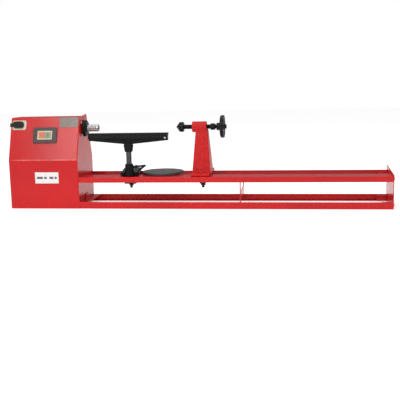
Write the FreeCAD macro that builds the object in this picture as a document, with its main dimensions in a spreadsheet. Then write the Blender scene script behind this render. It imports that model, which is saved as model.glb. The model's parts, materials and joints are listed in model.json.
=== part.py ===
"""Bench wood lathe: sheet-metal headstock, four-rail bed, banjo tool rest, tailstock and a loose faceplate.

Frame, in millimetres: the origin is on the bench, in the spindle's vertical plane, at the middle of the
headstock's foot. +X runs along the bed towards the tailstock, +Y away from the operator, +Z up.
"""

import FreeCAD, Part
import math
import os
import re

import Sketcher

V = FreeCAD.Vector

SIZES = {
    # headstock cabinet
    "hs_length": 262, "depth": 194, "hs_height": 337, "crease_height": 182, "slope_setback": 55,
    "sheet": 2, "side_plate": 3, "plate_ear": 7, "base_plate": 3,
    "bench_hole_radius": 4.5, "bench_hole_x": 200, "bench_hole_y": 130,
    # bed
    "bed_length": 1136, "rail_top": 117, "upper_web": 20, "front_flange": 78, "rear_lip": 10,
    "rear_ledge": 25, "lower_web": 25, "lower_flange": 60, "rear_foot": 15, "rail_wall": 3,
    "end_plate": 3, "end_front_height": 121, "end_rear_height": 136, "tie_width": 30,
    "bracket_place": 596, "bracket_wall": 3, "bracket_leg": 20, "bracket_low": 25, "bracket_high": 61,
    "corner_length": 36, "corner_width": 22, "bolt_radius": 3, "bolt_head": 5.5, "bolt_head_height": 4,
    # spindle line
    "swing_radius": 175, "spindle_radius": 12.5, "spindle_seat": 9, "nose_radius": 13.5, "nose_length": 43,
    "cap_thickness": 15, "cap_radius": 31, "housing_radius": 31, "housing_length": 168,
    "bearing_radius": 26, "bearing_width": 15, "flange_half_y": 38, "flange_half_z": 33,
    "flange_thick": 8, "taper_mouth": 8.89, "taper_depth": 62, "running_clearance": 0.05,
    # pulleys and belt
    "pulley_large": 41, "pulley_small": 24.5, "pulley_width": 15, "groove_depth": 9, "groove_half": 5,
    "groove_floor": 2, "belt_top": 1, "belt_height": 6, "belt_clearance": 0.15, "pulley_left": -118,
    # motor
    "motor_height": 80, "motor_radius": 56, "motor_wall": 3, "motor_left": -45, "motor_length": 130,
    "bell_thick": 12, "shaft_radius": 7, "motor_bearing_radius": 16, "motor_bearing_width": 10,
    "rotor_radius": 32.4, "stator_gap": 0.6, "core_length": 90, "fan_radius": 38,
    "plate_thick": 5, "plate_bottom": 14, "pivot_y": 78, "pivot_radius": 4, "knuckle_radius": 8,
    "cradle_wall": 8, "capacitor_radius": 15, "capacitor_length": 70,
    # switch, catch and labels on the sloped panel
    "switch_u": 2, "switch_v": 94, "bezel_width": 92, "bezel_height": 60, "bezel_thick": 4,
    "insert_width": 56, "insert_height": 33, "insert_thick": 3, "button_width": 21, "button_height": 22,
    "button_proud": 2.5, "button_depth": 13, "button_gap": 0.4, "switch_box_depth": 20,
    "catch_u": -101, "catch_v": 135, "catch_frame_width": 54, "catch_frame_height": 37,
    "catch_length": 40, "catch_height": 24, "catch_thick": 9, "label_thick": 0.8,
    "rating_width": 72, "rating_height": 38, "badge_width": 91, "badge_height": 42,
    # pulley door
    "door_thick": 2.7, "gap": 0.3, "hinge_low": 60, "hinge_height": 90, "hinge_knuckle": 4,
    "hinge_pin": 1.8, "hinge_leaf": 2, "hinge_out": 7, "hinge_back": 5,
    # tool rest
    "rest_x": 308, "banjo_turn": 8, "post_reach": 62, "post_radius": 10, "post_low": 136, "banjo_floor": 3,
    "post_high": 231, "boss_radius": 14.5, "boss_foot": 20, "boss_high": 163, "banjo_thick": 14,
    "banjo_width": 66, "foot_inset": 9, "slot_half": 7, "slot_front": -13, "slot_back": 52,
    "block_half": 6.7, "block_length": 20, "clamp_bolt_radius": 5, "clamp_bolt_low": 65,
    "clamp_plate_thick": 7, "clamp_plate_length": 48, "clamp_front": 31, "clamp_back": 1,
    "clamp_stem_half": 20, "clamp_stem_low": 82, "rest_stem_length": 44, "tail_stem_length": 22,
    "clamp_nut": 9, "clamp_nut_height": 8,
    "rest_length": 298, "rest_high": 276, "rest_web": 10, "rest_end_height": 27, "rest_mid_height": 40,
    "rest_boss_low": 207, "rest_boss_top_radius": 17.5, "rest_boss_radius": 13.5, "rest_shelf": 16,
    "lock_z": 152, "lock_radius": 4, "lock_reach": 8, "lever_length": 34, "lever_drop": 19,
    "lever_radius": 3.6,
    # faceplate
    "plate_x": 430, "plate_overlap": 2, "plate_radius": 78, "plate_disc": 10,
    "hub_radius": 21, "hub_depth": 20,
    "centre_hole": 6, "screw_circle": 60, "screw_hole": 3,
    # tailstock
    "tail_x": 583, "tail_length": 67, "tail_inset": 6, "tail_base": 12,
    "neck_length": 44, "neck_depth": 32, "column_depth": 96, "barrel_left": 547, "barrel_length": 54,
    "barrel_radius": 20, "screw_radius": 8.5, "screw_left": 509, "screw_seat": 638, "screw_end": 672,
    "screw_seat_radius": 7, "lock_nut_left": 615.5, "lock_nut_width": 16.5, "lock_nut_radius": 13.5,
    "wheel_radius": 42, "wheel_hub": 14, "wheel_rim_left": 651, "wheel_right": 669, "lobe_cut": 11,
    "lobe_place": 49, "lobe_count": 6, "acorn_radius": 9, "centre_tip": 487, "centre_base": 503.5,
    "centre_radius": 18, "live_right": 516, "live_radius": 18.5, "stub_radius": 5,
}

HALF = "hs_length / 2"
FRONT = "-depth / 2"
BACK = "depth / 2"
AXIS = "(rail_top + swing_radius)"
TILT = "atan(slope_setback / (hs_height - crease_height))"
BED_RIGHT = "(hs_length / 2 + bed_length)"
RAIL_LENGTH = "bed_length - end_plate"
UNDERSIDE = "rail_top - rail_wall"
MOTOR_RIGHT = "(motor_left + motor_length)"
PLATE_TOP = "(plate_bottom + plate_thick)"
PLATE_MIDDLE = "(plate_bottom + plate_thick / 2)"

doc = FreeCAD.newDocument("wood_lathe")
sheet = doc.addObject("Spreadsheet::Sheet", "sizes")
for row, (alias, number) in enumerate(SIZES.items(), 1):
    sheet.set(f"A{row}", alias)
    sheet.set(f"B{row}", str(number))
    sheet.setAlias(f"B{row}", alias)
doc.recompute()

nodes = {}


def size(alias):
    """Number that a cell of the sheet holds."""
    return float(getattr(sheet, alias))


def formula(text):
    """Expression text in which each size name points at its cell."""
    return re.sub(r"[a-z][a-z_]+[a-z]", lambda m: "sizes." + m[0] if m[0] in SIZES else m[0], str(text))


def bind(item, **texts):
    """Tie properties of an object to expressions on the sheet."""
    for name, text in texts.items():
        item.setExpression(name, formula(text))
    return item


def move(item, x=0, y=0, z=0):
    """Tie the place of an object to expressions on the sheet."""
    for axis, text in zip("xyz", (x, y, z)):
        item.setExpression(f"Placement.Base.{axis}", formula(text))
    return item


def box(name, corner, spans):
    """Block from its lowest corner and its three spans."""
    item = doc.addObject("Part::Box", name)
    bind(item, Length=spans[0], Width=spans[1], Height=spans[2])
    return move(item, *corner)


TURNS = {"X": (V(0, 1, 0), 90), "Y": (V(1, 0, 0), -90), "Z": (V(0, 0, 1), 0)}


def rod(name, start, radius, length, along="X"):
    """Round bar from the centre of its first end."""
    item = doc.addObject("Part::Cylinder", name)
    item.Placement = FreeCAD.Placement(V(), FreeCAD.Rotation(*TURNS[along]))
    bind(item, Radius=radius, Height=length)
    return move(item, *start)


def fuse(name, *items):
    """One solid made of several."""
    item = doc.addObject("Part::MultiFuse", name)
    item.Shapes = list(items)
    return item


def cut(name, base, *tools):
    """A solid with others taken out of it."""
    item = doc.addObject("Part::Cut", name)
    item.Base = base
    item.Tool = tools[0] if len(tools) == 1 else group(name + "_tools", *tools)
    return item


def group(name, *items):
    """Several separate solids held together under one name."""
    item = doc.addObject("Part::Compound", name)
    item.Links = list(items)
    return item


def node(label, item):
    """Name a finished sub-part: the label is also its file name."""
    item.Label = label
    nodes[label] = item
    return item


def outline(body, role, points, name="outline"):
    """Closed sketch of straight runs on an origin plane of a body, each corner tied to the sheet."""
    sketch = body.newObject("Sketcher::SketchObject", name)
    plane = [f for f in body.Origin.OriginFeatures if f.Role == role][0]
    sketch.AttachmentSupport = [(plane, "")]
    sketch.MapMode = "FlatFace"
    count = len(points)
    rough = [V(math.cos(2 * math.pi * i / count), math.sin(2 * math.pi * i / count), 0) for i in range(count)]
    for i in range(count):
        sketch.addGeometry(Part.LineSegment(rough[i], rough[(i + 1) % count]), False)
    for i in range(count):
        sketch.addConstraint(Sketcher.Constraint("Coincident", i, 2, (i + 1) % count, 1))
    for i, corner in enumerate(points):
        for kind, text, guess in zip(("DistanceX", "DistanceY"), corner, rough[i]):
            index = sketch.addConstraint(Sketcher.Constraint(kind, -1, 1, i, 1, guess))
            sketch.setExpression(f"Constraints[{index}]", formula(text))
    return sketch


def plate(name, role, points, thickness):
    """Flat piece: an outline padded along its plane's normal."""
    body = doc.addObject("PartDesign::Body", name)
    pad = body.newObject("PartDesign::Pad", "thickness")
    pad.Profile = outline(body, role, points)
    bind(pad, Length=thickness)
    if role == "XZ_Plane":
        pad.Reversed = True
    body.Tip = pad
    return body


def turned(name, profile, along="X"):
    """Turned piece: (station, radius) corners revolved about the X or Z axis of its body."""
    body = doc.addObject("PartDesign::Body", name)
    points = profile if along == "X" else [(radius, station) for station, radius in profile]
    sketch = outline(body, "XZ_Plane", points, "profile")
    turn = body.newObject("PartDesign::Revolution", "turn")
    turn.Profile = sketch
    turn.ReferenceAxis = (sketch, ["H_Axis" if along == "X" else "V_Axis"])
    turn.Angle = 360
    body.Tip = turn
    return body


def on_slope(item, u, v, n):
    """Lay an object on the sloped front panel: u along X, v up the slope, n out of the panel."""
    item.Placement = FreeCAD.Placement(V(), FreeCAD.Rotation(V(1, 0, 0), 1))
    item.setExpression("Placement.Rotation.Angle", formula(f"90 - {TILT} / 1 deg"))
    move(item, u, f"{FRONT} + ({v}) * sin({TILT}) - ({n}) * cos({TILT})",
         f"crease_height + ({v}) * cos({TILT}) + ({n}) * sin({TILT})")
    return item


def slope_box(name, u, v, n, spans):
    """Block centred at u, v on the sloped panel, standing from height n."""
    item = doc.addObject("Part::Box", name)
    bind(item, Length=spans[0], Width=spans[1], Height=spans[2])
    return on_slope(item, f"({u}) - ({spans[0]}) / 2", f"({v}) - ({spans[1]}) / 2", n)


def rounded(name, item, radius):
    """Block whose four edges along its own height are rounded."""
    doc.recompute()
    up = item.Placement.Rotation.multVec(V(0, 0, 1))
    numbers = [i for i, edge in enumerate(item.Shape.Edges, 1) if abs(edge.tangentAt(0).dot(up)) > 0.999]
    fillet = doc.addObject("Part::Fillet", name)
    fillet.Base = item
    fillet.Edges = [(i, radius, radius) for i in numbers]
    return fillet


def hexagon(name, radius, thickness, role):
    """Hexagonal prism of corner radius given, on an origin plane."""
    corners = [(f"({radius}) * cos({60 * i})", f"({radius}) * sin({60 * i})") for i in range(6)]
    return plate(name, role, corners, thickness)


def bolt(name, head, direction, length):
    """Hexagon-headed bolt along X, its shank running from the head's seat in the direction given."""
    prism = hexagon(name + "_head", "bolt_head", "bolt_head_height", "YZ_Plane")
    x, y, z = head
    seat = x if direction < 0 else f"({x}) - bolt_head_height"
    move(prism, seat, y, z)
    start = f"({x}) - ({length})" if direction < 0 else x
    return fuse(name, prism, rod(name + "_shank", (start, y, z), "bolt_radius", length))


# ---------------------------------------------------------------- headstock cabinet
def casing_outline(inset="0", ear="0"):
    """Section of the cabinet across the bed: upright below, leaning in above the crease."""
    return [(f"{FRONT} + {inset}", inset), (f"{BACK} - {inset}", inset),
            (f"{BACK} - {inset}", "crease_height"),
            (f"{BACK} - slope_setback - {inset}", f"hs_height + {ear} - {inset}"),
            (f"{FRONT} + slope_setback + {inset}", f"hs_height - {inset}"),
            (f"{FRONT} + {inset}", "crease_height")]


def headstock_casing():
    """Sheet wrapped round the front, slopes, top and back, with openings for the switch and the catch."""
    body = plate("casing_wrap", "YZ_Plane", casing_outline(), "hs_length - side_plate")
    doc.recompute()
    pad = body.Tip
    low, high = pad.Shape.BoundBox.XMin, pad.Shape.BoundBox.XMax
    open_faces = []
    for i, face in enumerate(pad.Shape.Faces, 1):
        centre = face.CenterOfMass
        if centre.x < low + 0.1 or centre.x > high - 0.1 or centre.z < 0.1:
            open_faces.append(f"Face{i}")
    shell = body.newObject("PartDesign::Thickness", "wall")
    shell.Base = (pad, open_faces)
    shell.Join = 1
    shell.Reversed = True
    bind(shell, Value="sheet")
    body.Tip = shell
    move(body, f"-{HALF}")
    switch_hole = slope_box("switch_hole", "switch_u", "switch_v", "-3 * sheet",
                            ("bezel_width - 18", "bezel_height - 12", "6 * sheet"))
    gland_hole = rod("gland_hole", (60, f"{BACK} - 2 * sheet", 40), 7, "4 * sheet", "Y")
    return cut("casing", body, switch_hole, gland_hole)


def headstock_side_plate():
    """Plate on the bed side, standing a little proud at its rear top corner."""
    body = move(plate("side_plate_blank", "YZ_Plane", casing_outline(ear="plate_ear"), "side_plate"),
                f"{HALF} - side_plate")
    bore = rod("side_plate_bore", (f"{HALF} - 2 * side_plate", 0, AXIS), "spindle_radius + 4", "4 * side_plate")
    holes = [rod(f"side_hole_{i}", (f"{HALF} - 2 * side_plate", y, z), "bolt_radius", "4 * side_plate")
             for i, (y, z) in enumerate(flange_bolt_places())]
    return cut("side_plate", body, bore, *holes)


def flange_bolt_places():
    """Where the four bolts of the spindle housing stand."""
    return [(f"{a} * (flange_half_y - 8)", f"{AXIS} + {b} * (flange_half_z - 9)")
            for a in (-1, 1) for b in (-1, 1)]


def headstock_base_plate():
    """Floor of the cabinet with the bench bolt holes and the motor pivot's two brackets welded on."""
    slab = box("base_slab", (f"-{HALF} + sheet", f"{FRONT} + sheet", 0),
               ("hs_length - sheet - side_plate", "depth - 2 * sheet", "base_plate"))
    brackets = [box(f"pivot_block_{i}", (x, "pivot_y - 9", 0), (6, 18, f"{PLATE_MIDDLE} + 9"))
                for i, x in enumerate(("motor_left - 13", f"{MOTOR_RIGHT} + 7"))]
    bore = rod("pivot_bracket_bore", ("motor_left - 20", "pivot_y", PLATE_MIDDLE), "pivot_radius",
               "motor_length + 40")
    holes = [rod(f"bench_hole_{i}", (f"{a} * bench_hole_x / 2", f"{b} * bench_hole_y / 2", -1),
                 "bench_hole_radius", "base_plate + 2", "Z")
             for i, (a, b) in enumerate([(-1, -1), (-1, 1), (1, -1), (1, 1)])]
    return cut("base_plate_cut", fuse("base_welded", slab, *brackets), bore, *holes)


node("headstock_casing", headstock_casing())
node("headstock_side_plate", headstock_side_plate())
node("headstock_base_plate", headstock_base_plate())

# ---------------------------------------------------------------- pulley door on the left end
DOOR_LEFT = f"(-{HALF} - gap - door_thick)"
PIVOT_X = f"(-{HALF} - hinge_out)"
PIVOT_Y = f"({BACK} + hinge_back)"


def pulley_door():
    """Flat cover of the pulley end, a little smaller than the cabinet."""
    return move(plate("door_blank", "YZ_Plane", casing_outline("2 * gap"), "door_thick"), DOOR_LEFT)


def hinge_leaf_door():
    """Leaf screwed to the outside of the door, with the middle knuckle."""
    leaf = box("door_leaf", (f"{DOOR_LEFT} - hinge_leaf", f"{BACK} - 24", "hinge_low"),
               ("hinge_leaf", "24 - 2 * gap", "hinge_height"))
    neck = box("door_leaf_neck", (f"{DOOR_LEFT} - hinge_leaf", f"{BACK} - 2", "hinge_low + hinge_height / 3 + gap"),
               ("hinge_leaf", "hinge_back + 2", "hinge_height / 3 - 2 * gap"))
    knuckle = rod("door_knuckle", (PIVOT_X, PIVOT_Y, "hinge_low + hinge_height / 3 + gap"), "hinge_knuckle",
                  "hinge_height / 3 - 2 * gap", "Z")
    bore = rod("door_knuckle_bore", (PIVOT_X, PIVOT_Y, "hinge_low"), "hinge_pin + running_clearance",
               "hinge_height", "Z")
    return cut("door_leaf_cut", fuse("door_leaf_all", leaf, neck, knuckle), bore)


def hinge_leaf_fixed():
    """Leaf on the back of the cabinet with the two outer knuckles, and the pin pressed through them."""
    leaf = box("fixed_leaf", (f"-{HALF}", BACK, "hinge_low"), (26, "hinge_leaf", "hinge_height"))
    pieces = [leaf]
    for i, low in enumerate(("hinge_low", "hinge_low + hinge_height * 2 / 3")):
        pieces.append(box(f"fixed_neck_{i}", (PIVOT_X, BACK, low),
                          ("hinge_out + 1", "hinge_leaf", "hinge_height / 3")))
        pieces.append(rod(f"fixed_knuckle_{i}", (PIVOT_X, PIVOT_Y, low), "hinge_knuckle",
                          "hinge_height / 3", "Z"))
    bore = rod("fixed_bore", (PIVOT_X, PIVOT_Y, "hinge_low - 1"), "hinge_pin", "hinge_height + 2", "Z")
    pin = rod("hinge_pin_rod", (PIVOT_X, PIVOT_Y, "hinge_low"), "hinge_pin", "hinge_height", "Z")
    return group("hinge_fixed_half", cut("fixed_leaf_cut", fuse("fixed_leaf_all", *pieces), bore), pin)


node("pulley_door", pulley_door())
node("hinge_leaf_door", hinge_leaf_door())
node("hinge_leaf_fixed", hinge_leaf_fixed())

# ---------------------------------------------------------------- switch, catch and labels
BUTTON_STEP = "(button_width + 3) / 2"


def switch_bezel():
    """Dark rounded surround of the switch, open where the buttons go in."""
    slab = rounded("bezel_round", slope_box("bezel_slab", "switch_u", "switch_v", 0,
                                            ("bezel_width", "bezel_height", "bezel_thick")), 6)
    hole = slope_box("bezel_hole", "switch_u", "switch_v", -1,
                     ("insert_width - 6", "insert_height - 6", "bezel_thick + 2"))
    return cut("bezel_cut", slab, hole)


def switch_insert():
    """Pale plate in the middle of the bezel, with a window for each button."""
    slab = slope_box("insert_slab", "switch_u", "switch_v", "bezel_thick",
                     ("insert_width", "insert_height", "insert_thick"))
    windows = [slope_box(f"window_{i}", f"switch_u + {side} * {BUTTON_STEP}", "switch_v", "bezel_thick - 1",
                         ("button_width + 2 * button_gap", "button_height + 2 * button_gap", "insert_thick + 2"))
               for i, side in enumerate((-1, 1))]
    return cut("insert_cut", slab, *windows)


def switch_button(name, side):
    """Push button standing proud of the insert."""
    return slope_box(name, f"switch_u + {side} * {BUTTON_STEP}", "switch_v",
                     "bezel_thick + insert_thick + button_proud - button_depth",
                     ("button_width", "button_height", "button_depth"))


def switch_box():
    """Switch body behind the panel, hollow under the buttons."""
    block = slope_box("switch_block", "switch_u", "switch_v", "-switch_box_depth",
                      ("bezel_width - 20", "bezel_height - 14", "switch_box_depth"))
    hollow = slope_box("switch_hollow", "switch_u", "switch_v", -14, ("insert_width - 6", "insert_height - 6", 15))
    return cut("switch_box_cut", block, hollow)


def catch_frame():
    """Pale rounded frame that the door catch slides on."""
    return rounded("catch_frame_round", slope_box("catch_slab", "catch_u", "catch_v", 0,
                                                  ("catch_frame_width", "catch_frame_height", 1.5)), 8)


def door_catch():
    """Black sliding catch whose nose reaches past the cabinet in front of the door's edge."""
    grip = rounded("catch_grip", slope_box("catch_block", "catch_u - 2", "catch_v", "1.5 + gap",
                                           ("catch_length", "catch_height", "catch_thick")), 8)
    nose_right = "(catch_u - 2 - catch_length / 2 + 6)"
    nose_left = f"(-{HALF} - 5)"
    nose = slope_box("catch_nose", f"({nose_right} + {nose_left}) / 2", "catch_v", "1.5 + gap",
                     (f"{nose_right} - {nose_left}", 14, 2.5))
    return fuse("catch_fused", grip, nose)


def labels():
    """Thin plates: rating plate on the slope, badge on the upright front."""
    rating = slope_box("rating_slab", f"{HALF} - side_plate - rating_width / 2 - 1",
                       f"(hs_height - crease_height) / cos({TILT}) - rating_height / 2 - 1.5", 0,
                       ("rating_width", "rating_height", "label_thick"))
    badge = box("badge_slab", (f"{HALF} - 75 - badge_width", f"{FRONT} - label_thick", 95),
                ("badge_width", "label_thick", "badge_height"))
    return group("label_set", rating, badge)


node("switch_bezel", switch_bezel())
node("switch_insert", switch_insert())
node("stop_button", switch_button("stop_block", -1))
node("start_button", switch_button("start_block", 1))
node("switch_box", switch_box())
node("catch_frame", catch_frame())
node("door_catch", door_catch())
node("label_plates", labels())


def cable_gland():
    """Gland in the back of the cabinet for the mains lead."""
    nut = move(hexagon("gland_nut", 11, 6, "XZ_Plane"), 60, BACK, 40)
    nose = rod("gland_nose", (60, f"{BACK} + 6", 40), 8, 9, "Y")
    neck = rod("gland_neck", (60, f"{BACK} - 9", 40), 7, 9, "Y")
    bore = rod("gland_bore", (60, f"{BACK} - 10", 40), 4, 30, "Y")
    return cut("gland_cut", fuse("gland_all", nut, nose, neck), bore)


node("cable_gland", cable_gland())

# ---------------------------------------------------------------- spindle line
HOUSING_LEFT = f"({HALF} - side_plate - housing_length)"


def spindle_housing():
    """Tube that carries both bearings, with a flange bolted inside the side plate."""
    tube = rod("housing_tube", (HOUSING_LEFT, 0, AXIS), "housing_radius", "housing_length")
    flange = box("housing_flange", (f"{HALF} - side_plate - flange_thick", "-flange_half_y", f"{AXIS} - flange_half_z"),
                 ("flange_thick", "2 * flange_half_y", "2 * flange_half_z"))
    core = rod("housing_core", (HOUSING_LEFT, 0, AXIS), "bearing_radius - 4", "housing_length")
    seats = [rod(f"bearing_seat_{i}", (x, 0, AXIS), "bearing_radius", "bearing_width")
             for i, x in enumerate(bearing_places())]
    holes = [rod(f"flange_hole_{i}", (f"{HALF} - side_plate - 2 * flange_thick", y, z), "bolt_radius",
                 "3 * flange_thick") for i, (y, z) in enumerate(flange_bolt_places())]
    return cut("housing_cut", fuse("housing_all", tube, flange), core, *seats, *holes)


def bearing_places():
    """Left faces of the two spindle bearings."""
    return HOUSING_LEFT, f"{HALF} - side_plate - bearing_width"


def ring(name, place, outer, inner, width):
    """Plain ring about the X direction."""
    x, y, z = place
    return cut(name, rod(name + "_rim", (x, y, z), outer, width),
               rod(name + "_eye", (f"({x}) - 1", y, z), inner, f"({width}) + 2"))


def spindle_bearings():
    """Two ball bearings, each a plain ring."""
    rings = [ring(f"spindle_bearing_{i}", (x, 0, AXIS), "bearing_radius", "spindle_radius + running_clearance",
                  "bearing_width") for i, x in enumerate(bearing_places())]
    return group("spindle_bearing_pair", *rings)


def spindle():
    """Spindle with its pulley seat on the left and the bored nose on the right."""
    left = "pulley_left - 4"
    shoulder = "pulley_left + 4 * pulley_width"
    nose = f"{HALF} + cap_thickness + 1"
    end = f"{HALF} + cap_thickness + 1 + nose_length"
    floor = f"{end} - taper_depth"
    return move(turned("spindle_body", [
        (left, 0), (left, "spindle_seat"), (shoulder, "spindle_seat"), (shoulder, "spindle_radius"),
        (nose, "spindle_radius"), (nose, "nose_radius"), (f"{end} - 1.5", "nose_radius"),
        (end, "nose_radius - 1.5"), (end, "taper_mouth"), (floor, "taper_mouth - taper_depth / 40"), (floor, 0),
    ]), 0, 0, AXIS)


def bearing_cap():
    """Black cap outside the side plate, round the spindle."""
    return move(turned("cap_body", [
        (0, "spindle_radius + 2"), (0, "cap_radius"), ("cap_thickness - 4", "cap_radius"),
        ("cap_thickness", "cap_radius - 4"), ("cap_thickness", "spindle_radius + 2"),
    ]), HALF, 0, AXIS)


def flange_bolts():
    """Bolts that hold the spindle housing to the side plate."""
    return group("flange_bolt_set", *[bolt(f"flange_bolt_{i}", (HALF, y, z), -1, "side_plate + flange_thick")
                                      for i, (y, z) in enumerate(flange_bolt_places())])


def step_pulley(name, radii, bore):
    """Four-step V pulley starting at the pulley plane, with the step radii given from left to right."""
    profile = [(0, bore)]
    for i, radius in enumerate(radii):
        left = f"{i} * pulley_width"
        middle = f"({left} + pulley_width / 2)"
        profile += [(left, radius), (f"{middle} - groove_half", radius),
                    (f"{middle} - groove_floor", f"{radius} - groove_depth"),
                    (f"{middle} + groove_floor", f"{radius} - groove_depth"),
                    (f"{middle} + groove_half", radius), (f"{left} + pulley_width", radius)]
    profile.append((f"{len(radii)} * pulley_width", bore))
    return turned(name, profile)


STEP_RADII = [f"(pulley_large - {i} * (pulley_large - pulley_small) / 3)" for i in range(4)]

node("spindle_housing", spindle_housing())
node("spindle_bearings", spindle_bearings())
node("spindle", spindle())
node("bearing_cap", bearing_cap())
node("flange_bolts", flange_bolts())
node("spindle_pulley", move(step_pulley("spindle_pulley_body", STEP_RADII, "spindle_seat"),
                            "pulley_left", 0, AXIS))

# ---------------------------------------------------------------- motor on its hinged plate
def motor_rotor():
    """Shaft from the pulley end to the fan end, with the rotor's core pressed on."""
    shaft = rod("motor_shaft", ("pulley_left - 4", 0, "motor_height"), "shaft_radius",
                f"{MOTOR_RIGHT} + bell_thick + 14 - pulley_left + 4")
    return group("rotor_set", shaft, motor_core("rotor_core", "rotor_radius", "shaft_radius"))


def motor_can():
    """Tube round the windings."""
    return ring("motor_can_ring", ("motor_left", 0, "motor_height"), "motor_radius",
                "motor_radius - motor_wall", "motor_length")


def motor_end_bells():
    """The two end bells, alike but for the side of the bearing's seat."""
    return group("bell_pair", motor_bell("bell_left", "motor_left - bell_thick", "motor_left - motor_bearing_width"),
                 motor_bell("bell_right", MOTOR_RIGHT, MOTOR_RIGHT))


def motor_bell(name, left, bearing_left):
    """End bell with a seat for its bearing."""
    disc = rod(name + "_disc", (left, 0, "motor_height"), "motor_radius", "bell_thick")
    eye = rod(name + "_eye", (left, 0, "motor_height"), "shaft_radius + 1", "bell_thick")
    seat = rod(name + "_seat", (bearing_left, 0, "motor_height"), "motor_bearing_radius", "motor_bearing_width")
    return cut(name, disc, eye, seat)


def motor_core(name, outer, inner):
    """Laminated core in the middle of the can."""
    return ring(name, ("motor_left + (motor_length - core_length) / 2", 0, "motor_height"), outer, inner,
                "core_length")


def motor_bearings():
    """One bearing in each end bell."""
    places = ("motor_left - motor_bearing_width", MOTOR_RIGHT)
    return group("motor_bearing_pair", *[
        ring(f"motor_bearing_{i}", (x, 0, "motor_height"), "motor_bearing_radius",
             "shaft_radius + running_clearance", "motor_bearing_width") for i, x in enumerate(places)])


def motor_fan():
    """Cooling fan: hub and eight blades."""
    left = f"({MOTOR_RIGHT} + bell_thick + 2)"
    hub = rod("fan_hub", (left, 0, "motor_height"), "shaft_radius + 5", 10)
    blades = []
    for i in range(8):
        blade = doc.addObject("Part::Box", f"fan_blade_{i}")
        blade.Placement = FreeCAD.Placement(V(), FreeCAD.Rotation(V(1, 0, 0), 45 * i))
        bind(blade, Length=10, Width="fan_radius", Height=2)
        blades.append(move(blade, left, 0, "motor_height"))
    eye = rod("fan_eye", (left, 0, "motor_height"), "shaft_radius", 10)
    return cut("fan_cut", fuse("fan_all", hub, *blades), eye)


def motor_plate():
    """Plate under the motor with the knuckle that turns on the pivot rod and two saddles for the can."""
    slab = box("motor_slab", ("motor_left - 5", "-motor_radius + 6", "plate_bottom"),
               ("motor_length + 10", "motor_radius - 6 + pivot_y", "plate_thick"))
    knuckle = rod("motor_knuckle", ("motor_left - 5", "pivot_y", PLATE_MIDDLE), "knuckle_radius",
                  "motor_length + 10")
    bore = rod("motor_knuckle_bore", ("motor_left - 6", "pivot_y", PLATE_MIDDLE),
               "pivot_radius + running_clearance", "motor_length + 12")
    saddles = [box(f"saddle_{i}", (x, "-motor_radius * 0.72", f"{PLATE_TOP} - 1"),
                   ("cradle_wall", "motor_radius * 1.44", f"motor_height - {PLATE_TOP} - 13"))
               for i, x in enumerate(("motor_left + 12", f"{MOTOR_RIGHT} - 12 - cradle_wall"))]
    can = rod("cradle_bore", ("motor_left", 0, "motor_height"), "motor_radius", "motor_length")
    return cut("motor_plate_cut", fuse("motor_plate_all", slab, knuckle, *saddles), bore, can)


def pivot_rod():
    """Rod that the motor plate swings on."""
    return rod("pivot_rod_bar", ("motor_left - 15", "pivot_y", PLATE_MIDDLE), "pivot_radius", "motor_length + 30")


node("motor_can", motor_can())
node("motor_end_bells", motor_end_bells())
node("motor_stator", motor_core("stator_core", "motor_radius - motor_wall", "rotor_radius + stator_gap"))
node("motor_rotor", motor_rotor())
node("motor_bearings", motor_bearings())
node("motor_fan", motor_fan())
node("motor_pulley", move(step_pulley("motor_pulley_body", STEP_RADII[::-1], "shaft_radius"),
                          "pulley_left", 0, "motor_height"))
node("motor_plate", motor_plate())
node("pivot_rod", pivot_rod())
node("run_capacitor", rod("capacitor_can", (20, f"{FRONT} + sheet + capacitor_radius + 2",
                                            "base_plate + capacitor_radius"), "capacitor_radius",
                          "capacitor_length"))


def drive_belt():
    """V belt round the left step of both pulleys: a tapered section swept round two arcs and two tangents."""
    large, small = size("pulley_large"), size("pulley_small")
    top, low = size("rail_top") + size("swing_radius"), size("motor_height")
    depth_top, depth_low = size("belt_top"), size("belt_top") + size("belt_height")
    lean = math.asin((large - small) / (top - low))
    side_y, side_z = math.cos(lean), math.sin(lean)

    def at(height, radius, y, z):
        return V(0, y * radius, height + z * radius)

    upper, lower = large - depth_low, small - depth_low
    right_top, left_top = at(top, upper, side_y, -side_z), at(top, upper, -side_y, -side_z)
    right_low, left_low = at(low, lower, side_y, -side_z), at(low, lower, -side_y, -side_z)
    path = Part.Wire([
        Part.Arc(left_top, at(top, upper, 0, 1), right_top).toShape(),
        Part.LineSegment(right_top, right_low).toShape(),
        Part.Arc(right_low, at(low, lower, 0, -1), left_low).toShape(),
        Part.LineSegment(left_low, left_top).toShape(),
    ])
    run = (size("groove_half") - size("groove_floor")) / size("groove_depth")
    half_low = size("groove_half") - run * depth_low - size("belt_clearance")
    half_top = size("groove_half") - run * depth_top - size("belt_clearance")
    out = V(0, -side_y, -side_z)
    corners = [V(-half_low, 0, 0), V(half_low, 0, 0), out * size("belt_height") + V(half_top, 0, 0),
               out * size("belt_height") + V(-half_top, 0, 0)]
    section = Part.makePolygon([left_top + c for c in corners + corners[:1]])
    item = doc.addObject("Part::Feature", "belt")
    item.Shape = path.makePipeShell([section], True, True)
    middle = size("pulley_left") + size("pulley_width") / 2
    item.Placement = FreeCAD.Placement(V(middle, 0, 0), FreeCAD.Rotation())
    return item


node("drive_belt", drive_belt())

# ---------------------------------------------------------------- bed
def rail(name, points):
    """Rolled section from the headstock to the end plate."""
    return node(name, move(plate(name + "_section", "YZ_Plane", points, RAIL_LENGTH), HALF))


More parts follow.
